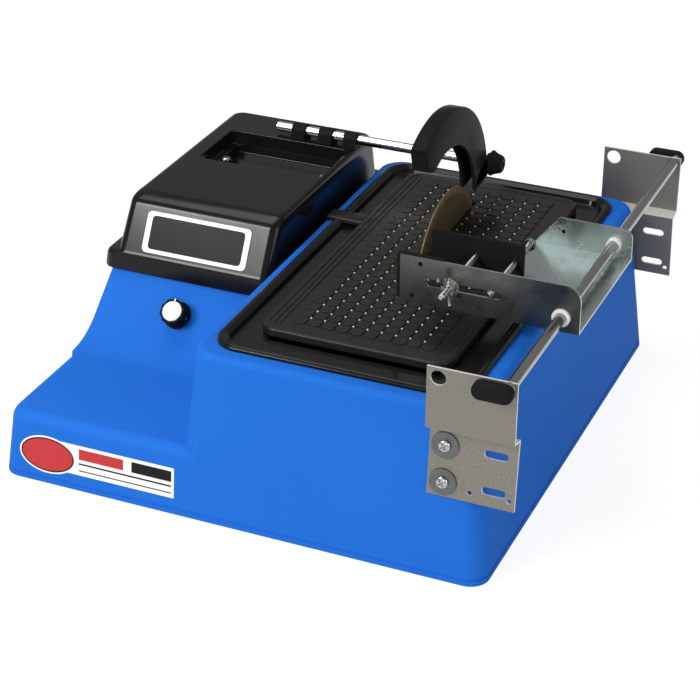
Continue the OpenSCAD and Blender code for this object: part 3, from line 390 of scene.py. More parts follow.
def panHead(radius, height):
    return [(radius * 0.96, 0), (radius, 0.25), (radius, height * 0.45), (radius * 0.93, height * 0.7),
            (radius * 0.75, height * 0.9), (radius * 0.45, height), (radius * 0.05, height * 1.02)]


def crossCutter(bm, size, depth, place):
    # one closed cross, so that the cut stays clean
    w = size * 0.19
    prism(bm, [(w, -w), (size, -w), (size, w), (w, w), (w, size), (-w, size),
               (-w, w), (-size, w), (-size, -w), (-w, -w), (-w, -size), (w, -size)], depth, place)


# moulded body, sizes in mm and angles in degrees
body = {
    "width": 448, "depth": 464, "deck": 153, "ledge": 62, "motorDeck": 121, "wall": 4.5,
    "lean": 15, "corner": 17, "edge": 6, "ledgeEdge": 10, "innerEdge": 2,
    "stepX": -57, "stepLean": 14,
    "bendY": -93, "slope": 48, "bendRadius": 55,
    "deckFoot": (7, 1),                 # where the tray deck's block starts, outside and inside
    "motorBlock": (14, 40, 7, 4),       # how far it dips in below and to the right, outer and inner corner
    "hair": 0.06,                       # keeps joined faces from lying in each other
    "footGroove": (4.0, 5.4, 0.9),      # from, to, depth
    "trayHole": (7.5, 16),              # in from the tray's edge, corner
    "motorHole": (4, 35.8, -64),        # left of the motor, half its length, right side
    "shaftHole": (17, 10, 50, 122),     # radius, how far left of the step it starts, length, height
}


def wallLevels(b, foot, top, edge):
    # (z, how far the wall has drawn in beside its draft)
    levels = [(foot, 0)]
    if foot < 1:
        g0, g1, deep = b["footGroove"]
        levels += [(g0, 0), (g0 + 0.3, deep), (g1, deep), (g1 + 0.6, 0)]
    for i in range(9):
        a = math.radians(90 * i / 8)
        levels.append((top - edge + edge * math.sin(a), edge * (1 - math.cos(a))))
    return levels


def bodyBlock(b, x0, foot, top, sideLean, edge, wall=0, hair=0):
    w, d = b["width"] / 2, b["depth"] / 2
    rings = []
    for z, inset in wallLevels(b, foot - (2 if wall else 0), top - wall, edge):
        lean = b["lean"] * z / b["deck"]
        q = inset + wall + hair
        corner = max(b["corner"] + (z / b["deck"]) * 5 - q * 0.6, 4)
        rings.append(roundRing(x0 + sideLean * z / b["deck"] + q, -d + lean + q, w - lean - q, d - lean - q,
                               corner, z, 10))
    bm = bmesh.new()
    loft(bm, rings, True, True)
    return bm


def slopeFront(b, z):
    # the sloping face, with a long soft bend where it meets the ledge
    t = math.radians(b["slope"])
    reach = b["bendRadius"] * math.tan(t / 2)
    y = b["bendY"] + (z - b["ledge"]) / math.tan(t)
    if z >= b["ledge"] + reach * math.sin(t):
        return y
    up = b["ledge"] + b["bendRadius"] - max(z, b["ledge"])
    return b["bendY"] - reach + math.sqrt(max(b["bendRadius"] ** 2 - up ** 2, 0))


def motorBlock(b, wall, hair):
    w, d = b["width"] / 2, b["depth"] / 2
    dip, overlap, outerCorner, innerCorner = b["motorBlock"]
    foot = b["ledge"]
    levels = [foot - dip, foot - 0.2] + [foot + 0.3 * k * k for k in range(1, 10)] + [b["motorDeck"] - wall]
    rings = []
    for z in levels:
        q = b["lean"] * z / b["deck"] + wall + hair
        front = slopeFront(b, z) + wall * 1.3 + (0.5 if z < foot else 0)
        rings.append(roundRing(-w + q, front, b["stepX"] + overlap - wall, d - q,
                               innerCorner if wall else outerCorner, z, 10))
    bm = bmesh.new()
    loft(bm, rings, True, True)
    return bm


def mouldedBody(b):
    left, t = -b["width"] / 2, b["wall"]
    piece = looseSolid(bodyBlock(b, left, 0, b["ledge"], b["lean"], b["ledgeEdge"]))
    piece.name = piece.data.name = "blueBody"
    deck = bodyBlock(b, b["stepX"], b["deckFoot"][0], b["deck"], b["stepLean"], b["edge"], hair=b["hair"])
    for block in (motorBlock(b, 0, 2 * b["hair"]), deck):
        cutWith(piece, [looseSolid(block)], "UNION")
    for inner in (bodyBlock(b, left, 0, b["ledge"], b["lean"], b["innerEdge"], t), motorBlock(b, t, 0),
                  bodyBlock(b, b["stepX"], b["deckFoot"][1], b["deck"], b["stepLean"], b["innerEdge"], t)):
        cutWith(piece, [looseSolid(inner)])
    # holes for the tray, the motor and the shaft between them
    low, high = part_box("water_tray")
    lip, corner = b["trayHole"]
    x0, y0, x1, y1 = low.x / mm + lip, low.y / mm + lip, high.x / mm - lip, high.y / mm - lip
    hole = bmesh.new()
    loft(hole, [roundRing(x0, y0, x1, y1, corner, b["deck"] + z) for z in (-8, 4)], True, True)
    low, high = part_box("motor_body")
    y = (low.y + high.y) / 2 / mm
    gap, half, right = b["motorHole"]
    rings = [roundRing(low.x / mm - gap, y - half, right, y + half, 3, b["motorDeck"] + z) for z in (-8, 4)]
    loft(hole, rings, True, True)
    radius, back, length, z = b["shaftHole"]
    way = bmesh.new()
    lathe(way, [(radius, 0), (radius, length)], 32, toward((b["stepX"] - back, y, z), (1, 0, 0)))
    cutWith(piece, [looseSolid(hole), looseSolid(way)])
    piece.data.materials.clear()
    piece.data.materials.append(mats["blueMoulding"])
    evenShade(piece, 24)
    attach(piece, "base")
    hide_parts("housing_shell")


mouldedBody(body)
print("body moulded")

# motor cover: what goes round it is given as left, front, right, rear
cover = {
    "flange": (-217.1, -46.2, -49.9, 225.1), "flare": (3, 0.5, 0, 3),
    "foot": 118, "flangeTop": 135, "top": 184,
    "hood": (-205.1, -45.2, -51.4, 211.1), "run": (3, 27, 0, 12), "hoodFoot": (9.5, 0.9, 1.2, 11.5),
    "edge": (8, 13, 4, 5), "edgeRise": 9, "corner": 9, "flangeCorner": 11, "sheet": 2.4,
    "pocket": (-181.6, 77, -56.4, 150), "pocketStep": 13, "pocketDepth": 21, "pocketLedge": 9,
    "coupling": (54, 82, 136),     # y from, y to, height of the way for the coupling
}


def drawn(box, by):
    # a box with each side drawn in: left, front, right, rear
    return box[0] + by[0], box[1] + by[1], box[2] - by[2], box[3] - by[3]


def hoodRect(c, z, k=0):
    up = (z - c["flangeTop"]) / (c["top"] - c["flangeTop"])
    return drawn(c["hood"], [r * up + e * k for r, e in zip(c["run"], c["edge"])])


def motorCover(c):
    rings = []
    lip, top, rise = c["flangeTop"], c["top"], c["edgeRise"]
    for z, pull in ((c["foot"], 0.5), (c["foot"] + 1.2, 0)):
        k = 1 - (z - c["foot"]) / (lip - c["foot"])
        rings.append(roundRing(*drawn(c["flange"], [pull - f * k for f in c["flare"]]), c["flangeCorner"], z))
    for down, k in ((3.6, 0), (1.6, 0.7), (0.4, 2.2)):
        s = down / (lip - c["foot"])
        near = min(k, 0.8)
        box = drawn(c["flange"], [k - c["flare"][0] * s, near, near, k - c["flare"][3] * s])
        rings.append(roundRing(*box, c["flangeCorner"] - 1, lip - down))
    rings.append(roundRing(*drawn(c["flange"], c["hoodFoot"]), c["corner"] + 0.5, lip + 0.2))
    for z in (lip + 0.9, lip + 2.6, lip + 20, top - rise):
        rings.append(roundRing(*hoodRect(c, z), c["corner"], z))
    for i in range(1, 10):
        a = math.radians(90 * i / 9)
        z = top - rise * (1 - math.sin(a))
        rings.append(roundRing(*hoodRect(c, z, 1 - math.cos(a)), c["corner"], z))
    px0, py0, px1, py1 = c["pocket"]
    step, floor, g = top - c["pocketStep"], top - c["pocketDepth"], c["pocketLedge"]
    wallPath = easedPath([(-0.9, top), (0.6, top, 1.6), (1.6, step, 1.4), (g, step, 1.8),
                          (g + 0.9, floor, 2.2), (g + 6, floor)])
    for d, z in wallPath:
        across = min(d, 1.6 + max(d - g, 0) * 0.4)      # the ledge is only at the two sides
        rings.append(roundRing(px0 + d, py0 + across, px1 - d, py1 - across, 6 if d < g else 5, z))
    bm = bmesh.new()
    loft(bm, rings, capFirst=False, capLast=True)
    piece = newPiece("motorCover", bm, "glossBlack", "base", ["motor_cover"], sharp=60)
    mod = piece.modifiers.new("sheet", "SOLIDIFY")
    mod.thickness = c["sheet"] * mm
    mod.offset = -1
    applyAll(piece)
    y0, y1, z1 = c["coupling"]
    right = c["flange"][2]
    bm = bmesh.new()
    loft(bm, [roundRing(right - 8, y0, right + 6, y1, 1, z) for z in (110, z1)], True, True)
    cutWith(piece, [looseSolid(bm)])
    evenShade(piece, 45)


motorCover(cover)

pocketScrew = {"radius": 4.5, "height": 2.9, "seat": 6, "seatDepth": 8, "shank": 2, "length": 51.8,
               "cross": 2.8, "crossLift": 1.5, "crossTurn": 0.4}


def coverScrews(c, q):
    # seats in the pocket, and the two cross-head screws on them
    low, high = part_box("cover_screws")
    seats, heads, shanks, cut = bmesh.new(), bmesh.new(), bmesh.new(), bmesh.new()
    up = (0, 0, 1)
    y = (low.y + high.y) / 2 / mm
    z = c["top"] - c["pocketStep"]
    for x in (low.x / mm + q["radius"], high.x / mm - q["radius"]):
        lathe(seats, [(q["seat"], -q["seatDepth"]), (q["seat"], -0.5), (q["seat"] - 0.4, 0), (0.5, 0)], 28,
              toward((x, y, z), up))
        lathe(heads, panHead(q["radius"], q["height"]), 28, toward((x, y, z + 0.05), up))
        lathe(shanks, [(q["shank"], 0), (q["shank"], q["length"])], 12,
              toward((x, y, z - q["length"] - 0.1), up))
        crossCutter(cut, q["cross"], 4,
                    toward((x, y, z + q["crossLift"]), up) @ Matrix.Rotation(q["crossTurn"], 4, "Z"))
    newPiece("pocketScrewSeats", seats, "glossBlack", "base", sharp=40)
    newPiece("coverScrewShanks", shanks, "zincBolt", "base", ["cover_screws"])
    piece = newPiece("coverScrewHeads", heads, "zincBolt", "base", sharp=35)
    cutWith(piece, [looseSolid(cut)])
    shadeByAngle(piece, 35)


coverScrews(cover, pocketScrew)

plate = {"side": 5.4, "rail": 3.6, "thick": 0.9, "face": 0.25, "corner": 4.5, "height": 38,
         "up": 0.42, "out": 0.35}       # share of the way up the hood's front, gap under the plate


def hoodPlace(c, up, out):
    k = up / (c["top"] - c["flangeTop"])
    angle = math.atan2(c["top"] - c["flangeTop"], c["run"][1])
    x0, y0, x1, y1 = c["hood"]
    at = Vector(((x0 + x1) / 2 + 0.5, y0 + c["run"][1] * k, c["flangeTop"] + up)) * mm
    return Matrix.Translation(at) @ Matrix.Rotation(angle, 4, "X") @ Matrix.Translation((0, 0, out * mm))


def flatRing(w, h, r):
    return [(x, y) for x, y, z in roundRing(-w / 2, -h / 2, w / 2, h / 2, r, 0, 6)]


def namePlate(p, c):
    low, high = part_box("name_plate")
    width = (high.x - low.x) / mm
    at = hoodPlace(c, (c["top"] - c["flangeTop"]) * p["up"], p["out"])
    bm = bmesh.new()
    prism(bm, flatRing(width, p["height"], p["corner"]), p["thick"] * 0.6, at)
    newPiece("namePlateBorder", bm, "plateWhite", "base", ["name_plate"])
    bm = bmesh.new()
    prism(bm, flatRing(width - 2 * p["side"], p["height"] - 2 * p["rail"], p["corner"] * 0.8), p["face"],
          at @ Matrix.Translation((0, 0, p["thick"] * 0.62 * mm)))
    newPiece("namePlateFace", bm, "plateDark", "base")


namePlate(plate, cover)
print("cover made")

# tray
tray = {"box": (-33, -203, 195, 205), "corner": 24, "deck": 153, "bead": 4.5, "rim": 11, "shelf": 150,
        "shelfWidth": 26, "floor": 41, "sheet": 2.6,
        "notch": (58, 78)}      # y from and to, where the table's tongue crosses the rim


def waterTray(t):
    x0, y0, x1, y1 = t["box"]
    deck, rim, shelf, floor = t["deck"], t["rim"], t["shelf"], t["floor"]
    top, drop = deck + t["bead"], rim + t["shelfWidth"]
    path = easedPath([
        (0.4, deck + 0.15), (0.2, deck + 2.2, 1.6), (2.4, top, 2.4), (5.6, top, 2.8),
        (rim - 1.6, deck + 1.6, 2.6), (rim + 0.4, shelf + 0.5, 1.6), (rim + 4, shelf, 2), (drop, shelf, 3),
        (drop + 2, floor + 0.2, 8), (drop + 14, floor),
    ])
    rings = [roundRing(x0 + d, y0 + d, x1 - d, y1 - d, max(t["corner"] - d * 0.75, 7), z, 10)
             for d, z in path]
    bm = bmesh.new()
    loft(bm, rings, False, True)
    piece = newPiece("waterTray", bm, "glossBlack", "base", ["water_tray"], sharp=60)
    mod = piece.modifiers.new("sheet", "SOLIDIFY")
    mod.thickness = t["sheet"] * mm
    mod.offset = -1
    applyAll(piece)
    y0, y1 = t["notch"]
    bm = bmesh.new()
    loft(bm, [roundRing(x0 - 2, y0, x0 + rim + 4, y1, 1.5, z) for z in (deck + 0.4, top + 4)], True, True)
    cutWith(piece, [looseSolid(bm)])
    evenShade(piece, 50)


waterTray(tray)

# table
table = {
    "box": (-6.5, -163, 164.5, 185), "corner": 15, "foot": 150.2, "top": 158, "edge": 2.6, "border": 12,
    "slot": (72, 76, -8, 144), "slotCorner": 1.8,
    "padPitch": (12.78, 13.15), "padGap": 1.5, "padHeight": 1.0, "padCorner": 2.6,
    # the last value sets the size of the light dots where four pads meet, which are painted glints
    "padFrom": (16.2, -144.0), "padCount": (10, 24), "glintDot": 0.95,
    "strips": ((8.5, 10.5), (13.5, 15.5)),          # from and to, in from the left edge
    "tongue": (-41, 59, 2, 77),
    "tongueLevels": ((0, 153.5), (0, 156.4), (0.4, 157.1), (1.2, 157.5)),
}


def workTable(t):
    x0, y0, x1, y1 = t["box"]
    lip = t["top"] - t["padHeight"]
    path = easedPath([
        (1.0, t["foot"]), (0, t["foot"] + 1.2, 1), (0, t["top"], t["edge"]), (5.0, t["top"], 0.8),
        (5.8, lip, 0.6), (t["border"], lip),
    ])
    bm = bmesh.new()
    loft(bm, [roundRing(x0 + d, y0 + d, x1 - d, y1 - d, max(t["corner"] - d, 4), z, 8) for d, z in path],
         True, True)
    piece = newPiece("workTable", bm, "tableBlack", "base", ["work_table"], sharp=50)
    sx0, sx1, sy0, sy1 = t["slot"]
    bm = bmesh.new()
    loft(bm, [roundRing(sx0, sy0, sx1, sy1, t["slotCorner"], z, 4) for z in (t["foot"] - 3, t["top"] + 3)],
         True, True)
    cutWith(piece, [looseSolid(bm)])
    evenShade(piece, 40)
    tablePads(t, lip)
    bm = bmesh.new()
    for a, b in t["strips"]:
        loft(bm, [roundRing(x0 + a + d, y0 + 12 + d, x0 + b - d, y1 - 10 - d, 0.8, lip + z, 3)
                  for d, z in ((0, -0.3), (0.1, 0.5), (0.5, 0.75))], False, True)
    newPiece("tableStrip", bm, "tableBlack", "base", sharp=50)
    bm = bmesh.new()
    tx0, ty0, tx1, ty1 = t["tongue"]
    loft(bm, [roundRing(tx0 + d, ty0 + d, tx1, ty1 - d, 2, z, 4) for d, z in t["tongueLevels"]], True, True)
    newPiece("tableTongue", bm, "tableBlack", "base", sharp=50)


def tablePads(t, lip):
    # pads on both sides of the slot, with a small light dot where four of them meet: a painted glint at the
    # pad corners
    bm, glintDots = bmesh.new(), bmesh.new()
    sx0, sx1, sy0, sy1 = t["slot"]
    px, py = t["padPitch"]
    g, h, glintDot = t["padGap"] / 2, t["padHeight"], t["glintDot"]
    for i in range(t["padCount"][0]):
        for j in range(t["padCount"][1]):
            cx, cy = t["padFrom"][0] + i * px, t["padFrom"][1] + j * py
            ax, ay, bx, by = cx + g, cy + g, cx + px - g, cy + py - g
            if ax < sx1 + 1 and bx > sx0 - 1 and by > sy0 - 2 and ay < sy1 + 2:
                continue
            loft(bm, [roundRing(ax + d, ay + d, bx - d, by - d, max(t["padCorner"] - d, 0.5), lip + z, 3)
                      for d, z in ((0, -0.3), (0.05, h * 0.75), (0.3, h * 0.97))], False, True)
            if i and j:
                lathe(glintDots, [(glintDot, -0.2), (glintDot, h * 0.6), (glintDot * 0.6, h * 0.95), (0.1, h)], 8,
                      toward((cx, cy, lip), (0, 0, 1)))
    piece = newPiece("tablePads", bm, "tableBlack", "base", sharp=50)
    evenShade(piece, 50)
    newPiece("tableGlintDots", glintDots, "paintedGlint", "base", sharp=50)


workTable(table)
print("tray and table made")

# blade guard: nose, chin and chinInner are (y, z) from the arc's centre, cheekTail from the pivot
guard = {
    "pivot": (162, 191), "centre": (46.44, 172.7), "outer": 109.9, "inner": 75, "x": (66.5, 81.5),
    "wall": 2.6, "round": 1.6, "nose": (-53.5, 97.5), "chin": (-46.5, 73.5), "chinInner": (-31.4, 67.5),
    "stop": (3.5, 5.0),                 # where the arc ends, in degrees, at its outer and inner edge
    "web": (2.4, 1.2, 0.35),            # thickness in y and z, in from the sides
    "cheek": 9, "cheekArc": (-100, 100), "cheekTail": ((-30, 3), (-36, -8.5), (-34, -9)),
}


def arcGuard(g):
    cy, cz = g["centre"]
    py, pz = g["pivot"]
    x0, x1 = g["x"]
    r, w = g["round"], g["wall"]
    outer, inner = g["outer"], g["inner"]
    # the slanting front end follows nose, chin and chinInner
    nose = math.degrees(math.acos(g["nose"][0] / outer))
    chin = math.degrees(math.atan2(g["chin"][1], g["chin"][0]))
    chinIn = math.degrees(math.atan2(g["chinInner"][1], g["chinInner"][0]))
    chinR = math.hypot(*g["chin"])

    def startAngle(rad):
        if rad > chinR:
            return chin + (nose - chin) * (rad - chinR) / (outer - chinR)
        return chinIn + (chin - chinIn) * (rad - inner) / (chinR - inner)

    # the channel's section as (x, radius), once round
    section = [(x0 + r, outer), (x1 - r, outer), (x1 - 0.3 * r, outer - 0.3 * r), (x1, outer - r),
               (x1, chinR), (x1, inner + 0.6), (x1 - 0.6, inner), (x1 - w, inner),
               (x1 - w, outer - w), (x0 + w, outer - w),
               (x0 + w, inner), (x0 + 0.6, inner), (x0, inner + 0.6), (x0, chinR), (x0, outer - r),
               (x0 + 0.3 * r, outer - 0.3 * r)]
    steps = 72
    outerStop, innerStop = g["stop"]
    rings = []
    for k in range(steps + 1):
        t = k / steps
        ring = []
        for x, rad in section:
            share = (rad - inner) / (outer - inner)
            a = math.radians((1 - t) * startAngle(rad) + t * (innerStop + (outerStop - innerStop) * share))
            ring.append((x, cy + rad * math.cos(a), cz + rad * math.sin(a)))
        rings.append(ring)
    bm = bmesh.new()
    loft(bm, rings, True, True)
    # web that closes the front end
    webY, webZ, inset = g["web"]
    outline = []
    for rad in (outer - 0.5, chinR + 0.2, inner + 0.6):
        a = math.radians(startAngle(rad))
        outline.append((cy + rad * math.cos(a) + 0.04, cz + rad * math.sin(a)))
    outline += [(y + webY, z + webZ) for y, z in reversed(outline)]
    slab(bm, outline, x0 + inset, x1 - inset)
    # cheeks round the pivot
    a0, a1 = g["cheekArc"]
    outline = []
    for i in range(25):
        a = math.radians(a0 + (a1 - a0) * i / 24)
        outline.append((py + g["cheek"] * math.cos(a), pz + g["cheek"] * math.sin(a)))
    outline += [(py + y, pz + z) for y, z in g["cheekTail"]]
    for a, b in ((x0, x0 + w), (x1 - w, x1)):
        slab(bm, outline, a, b)
    newPiece("curvedGuard", bm, "satinBlack", "guard", ["blade_guard"], sharp=32)


arcGuard(guard)

# knobs
guardKnob = {"at": (81.9, 162, 191), "foot": 12, "tip": 7, "length": 12.4, "flutes": 8, "wave": 0.085}


def flutedKnob(k):
    def wave(a, h):
        return 1 - k["wave"] * (0.5 + 0.5 * math.cos(k["flutes"] * a)) * min(1, h / 2.5)

    foot, tip, end = k["foot"], k["tip"], k["length"]
    profile = [(4, 0), (foot - 0.6, 0), (foot, 0.6), (foot, 2.2), (foot - 0.9, 3.4), (foot - 1.8, 4.6),
               (tip + 1.2, end - 1.6), (tip + 0.3, end - 0.4), (tip - 1, end), (3.1, end), (2.9, end - 1.2)]
    bm = bmesh.new()
    lathe(bm, profile, 96, toward(k["at"], (1, 0, 0)), wave)
    newPiece("guardKnob", bm, "satinBlack", "guard_clamp", ["guard_knob"], sharp=40)


flutedKnob(guardKnob)

speedKnob = {"skirt": 13, "neck": 12.1, "height": 14, "cap": 9.3, "lift": 2, "flutes": 10, "wave": 0.075,
             "screwTurn": -12, "screwUp": 6.2}


def speedKnobPieces(k):
    slope = math.radians(body["slope"])
    z = Vector((0, -math.sin(slope), math.cos(slope))).normalized()
    y = Vector((0, z.z, -z.y))
    x = y.cross(z)
    joint = [q for q in frame["joints"] if q["name"] == "speed_knob_turn"][0]
    foot = Vector(joint["pos_m"]) + z * k["lift"] * mm
    place = Matrix.Translation(foot) @ Matrix((x, y, z)).transposed().to_4x4()

    def wave(a, h):
        return 1 - k["wave"] * (0.5 + 0.5 * math.cos(k["flutes"] * a)) * (1 if h > 1.5 else 0)

    s, n, h, c = k["skirt"], k["neck"], k["height"], k["cap"]
    bm = bmesh.new()
    lathe(bm, [(s - 2, 0), (s - 0.4, 0), (s, 0.5), (s, 1.6), (s - 0.5, 2.2), (s - 0.9, 3), (n + 0.3, h - 1.2),
               (n, h - 0.4), (n - 0.5, h), (c + 0.2, h), (c + 0.1, h - 0.6)], 80, place, wave)
    newPiece("speedKnobSkirt", bm, "satinBlack", "speed_control", ["speed_knob"], sharp=40)
    bm = bmesh.new()
    lathe(bm, [(c, h - 0.6), (c, h - 0.1), (c - 0.4, h + 0.25), (c * 0.5, h + 0.35), (0.2, h + 0.38)], 48,
          place)
    newPiece("speedKnobCap", bm, "plateWhite", "speed_control", ["speed_knob_cap"], sharp=40)
    bm = bmesh.new()     # pointer line
    prism(bm, [(-0.5, c - 0.5), (0.5, c - 0.5), (0.5, n - 0.1), (-0.5, n - 0.1)], 0.3,
          place @ Matrix.Translation((0, 0, (h - 0.1) * mm)))
    newPiece("speedKnobPointer", bm, "plateWhite", "speed_control")
    bm = bmesh.new()     # set screw in the skirt
    turn = math.radians(k["screwTurn"])
    side = (x * math.cos(turn) + y * math.sin(turn)).normalized()
    at = foot + z * k["screwUp"] * mm + side * (s - 2.2) * mm
    lathe(bm, [(1.6, 0), (1.6, 1.3), (1.2, 1.6), (0.9, 1.6), (0.8, 0.9)], 16, toward(at / mm, side))
    newPiece("speedKnobScrew", bm, "zincBolt", "speed_control")


speedKnobPieces(speedKnob)
print("guard and knobs made")

# sheet metal, rods and small solids that keep their shape: node, finish, body, slot, easing in mm
eased = [
    ("front_bracket", "stainless", "base", "stainless", 0.35),
    ("rear_bracket", "stainless", "base", "stainless", 0.35),
    ("vise_carriage", "zincSheet", "vise_frame", "zinc_sheet", 0.35),
    ("jaw_pad", "satinBlack", "vise_frame", "black_matte", 0.7),
    ("moving_jaw", "satinBlack", "jaw", "black_matte", 0.7),
    ("vise_bushings", "whiteNylon", "vise_runner", "white_nylon", 0.4),
    ("wing_nut_washer", "zincBolt", "jaw_block", "hardware", 0.3),
    ("wing_nut", "zincBolt", "wing", "hardware", 0.5),
    ("clamp_screw_nut", "zincBolt", "jaw", "hardware", 0.4),
    ("jack_nut", "zincBolt", "jack", "hardware", 0.4),
    ("bracket_washers", "washerZinc", "base", "hardware", 0.3),
    ("rod_end_nuts", "zincBolt", "base", "hardware", 0.4),
    ("guide_rod", "polishedBar", "base", "rod_chrome", 0.5),
    ("guard_rod", "guardBar", "base", "rod_chrome", 0.5),
    ("guard_rod_clips", "satinBlack", "base", "black_matte", 0.8),
    ("cord_gland", "satinBlack", "base", "black_matte", 0.6),
]
for node, finish, rides, slot, width in eased:
    softCopy(node, finish, rides, width)

# inner pieces that only take a finish
kept = {
    "zincBolt": ["base_screws", "drive_frame_screws", "motor_screws", "arbor_screws", "motor_shaft",
                 "blade_flanges", "arbor_nut", "bracket_nuts"],
    "polishedBar": ["arbor_bearings", "arbor_shaft"],
    "turnedAluminium": ["arbor_housing", "shaft_coupling"],
    "darkSheet": ["base_plate", "speed_pot"],
    "framePaint": ["drive_frame"],
    "motorPaint": ["motor_body"],
    "circuitGreen": ["speed_controller"],
    "satinBlack": ["shaft_seal"],
    "bladeSteel": ["blade_core"],
    "diamondRim": ["blade_rim"],
}
for finish, names in kept.items():
    for node in names:
        slots = nodes[node].data.materials
        slots.clear()
        slots.append(mats[finish])

# levers at the ends of the guide rod
lever = {"round": 7.2, "foot": 0.7, "bevel": 3.2, "crown": ((1.2, 0.96), (0.3, 2.08), (0, 4.16))}


def clampLever(k, node, rides):
    low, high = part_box(node)
    x0, z0, x1, z1 = low.x / mm, low.z / mm, high.x / mm, high.z / mm
    side = -1 if low.y < 0 else 1
    inner, outer = sorted((abs(low.y) / mm, abs(high.y) / mm))
    levels = [(inner, k["foot"]), (inner + k["foot"], 0), (outer - k["bevel"], 0)]
    levels += [(outer - back, inset) for back, inset in k["crown"]]
    rings = []
    for out, inset in levels:
        ring = roundRing(x0 + inset, z0 + inset, x1 - inset, z1 - inset, k["round"] - inset, side * out)
        rings.append([(x, y, z) for x, z, y in ring])
    bm = bmesh.new()
    loft(bm, rings, True, True)
    newPiece(node.replace("_", "") + "Moulded", bm, "satinBlack", rides, [node], sharp=28)


clampLever(lever, "front_lever", "front_clamp")
clampLever(lever, "rear_lever", "rear_clamp")

# plain shapes on the sticker
decal = {
    "oval": (-176.9, 27.5, 27.6, 17.6),              # centre x and z, half width and height
    "ring": 1.6, "core": 2.9,                        # white border, then the black line
    "strip": (-165, 14.9, -54.5, 43.2),
    "blackBars": [(-146.2, 25.2, -57, 26.7), (-146.2, 19.0, -57, 20.0), (-95, 30, -57, 40)],
    "redBar": (-146, 30, -103, 40),
}


def stickerShapes(d):
    lean = math.atan(body["lean"] / body["deck"])

    def onWall(z, out):
        y = -body["depth"] / 2 + body["lean"] * z / body["deck"]
        upright = Matrix.Rotation(math.radians(90) - lean, 4, "X")
        return Matrix.Translation(Vector((0, y, z)) * mm) @ upright @ Matrix.Translation((0, 0, out * mm))

    def oval(bm, inset, out, depth):
        x, z, rx, rz = d["oval"]
        turns = [2 * math.pi * i / 72 for i in range(72)]
        outline = [(x + (rx - inset) * math.cos(a), (rz - inset) * math.sin(a)) for a in turns]
        prism(bm, outline, depth, onWall(z, out))

    def bar(bm, box, out, depth, r=0.25):
        x0, z0, x1, z1 = box
        z = (z0 + z1) / 2
        prism(bm, [(x, y - z) for x, y, q in roundRing(x0, z0, x1, z1, r, 0, 3)], depth, onWall(z, out))

    white, black, red = bmesh.new(), bmesh.new(), bmesh.new()
    oval(white, 0, -0.4, 0.62)
    bar(white, d["strip"], -0.4, 0.6, 1)
    oval(black, d["ring"], 0.1, 0.2)
    oval(red, d["core"], 0.1, 0.26)
    bar(red, d["redBar"], 0.1, 0.16)
    for box in d["blackBars"]:
        bar(black, box, 0.1, 0.16)
    newPiece("stickerBase", white, "plateWhite", "base", ["side_decal"])
    newPiece("stickerBlack", black, "plateDark", "base")
    newPiece("stickerRed", red, "decalRed", "base")


stickerShapes(decal)

# fasteners
bracketScrew = {"radius": 5.3, "height": 3.1, "lift": 3.65, "shank": 3, "length": 17.5, "sunk": 14,
                "cross": 3.1, "crossDepth": 1.6, "crossTurn": 0.6, "rows": (90, 122)}


def bracketScrews(f):
    lean = math.atan(body["lean"] / body["deck"])
    low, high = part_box("bracket_screws")
    x = (low.x + high.x) / 2 / mm
    heads, shanks, cut = bmesh.new(), bmesh.new(), bmesh.new()
    for side in (-1, 1):
        for z in f["rows"]:
            out = Vector((0, side * math.cos(lean), math.sin(lean)))
            wall = Vector((x, side * (body["depth"] / 2 - body["lean"] * z / body["deck"]), z))
            head = toward(wall + out * f["lift"], out)
            lathe(heads, panHead(f["radius"], f["height"]), 32, head)
            lathe(shanks, [(f["shank"], 0), (f["shank"], f["length"])], 20,
                  toward(wall - out * f["sunk"], out))
            up = Matrix.Translation((0, 0, (f["height"] - f["crossDepth"]) * mm))
            crossCutter(cut, f["cross"], 4, head @ up @ Matrix.Rotation(f["crossTurn"], 4, "Z"))
    newPiece("bracketScrewShanks", shanks, "zincBolt", "base", ["bracket_screws"])
    piece = newPiece("bracketScrewHeads", heads, "zincBolt", "base", sharp=35)
    cutWith(piece, [looseSolid(cut)])
    shadeByAngle(piece, 35)


bracketScrews(bracketScrew)

thread = {"radius": 3, "pitch": 1.27, "depth": 0.42, "point": 0.9, "pointDepth": 0.5, "steps": 18}


def threadedRod(t, node, name, rides):
    low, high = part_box(node)
    c = (low + high) / 2 / mm
    length = (high.y - low.y) / mm
    rows = int(length / t["pitch"] * 4)
    rings = []
    for k in range(rows + 1):
        h = length * k / rows
        taper = 1 - min(h, length - h, t["point"]) / t["point"]      # 1 at the very ends
        ring = []
        for i in range(t["steps"]):
            a = 2 * math.pi * i / t["steps"]
            turn = (h / t["pitch"] - i / t["steps"]) % 1
            r = t["radius"] - t["depth"] * (1 - abs(2 * turn - 1)) - taper * t["pointDepth"]
            ring.append((r * math.cos(a), r * math.sin(a), h))
        rings.append(ring)
    bm = bmesh.new()
    loft(bm, rings, capFirst=True, capLast=True, place=toward((c.x, low.y / mm, c.z), (0, 1, 0)))
    newPiece(name, bm, "zincBolt", rides, [node], sharp=60)


threadedRod(thread, "clamp_screw", "clampScrewThread", "jaw")
threadedRod(thread, "jack_screw", "jackScrewThread", "jack")


def secondFinish(name, finish, wanted):
    # another finish on the faces that wanted picks
    mesh = bpy.data.objects[name].data
    mesh.materials.append(mats[finish])
    for f in mesh.polygons:
        if wanted(f):
            f.material_index = 1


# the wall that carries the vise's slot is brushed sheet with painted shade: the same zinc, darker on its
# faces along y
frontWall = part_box("vise_carriage")[0].y + 2.1 * mm
secondFinish("vise_carriageEased", "zincFrontShade", lambda f: f.center.y < frontWall and abs(f.normal.y) > 0.3)
# sheared edges, holes and the bend of the brackets get a painted highlight: every face not facing along y is
# lighter
for name in ("front_bracketEased", "rear_bracketEased"):
    secondFinish(name, "edgeHighlight", lambda f: abs(f.normal.y) < 0.93)
print("hardware made")

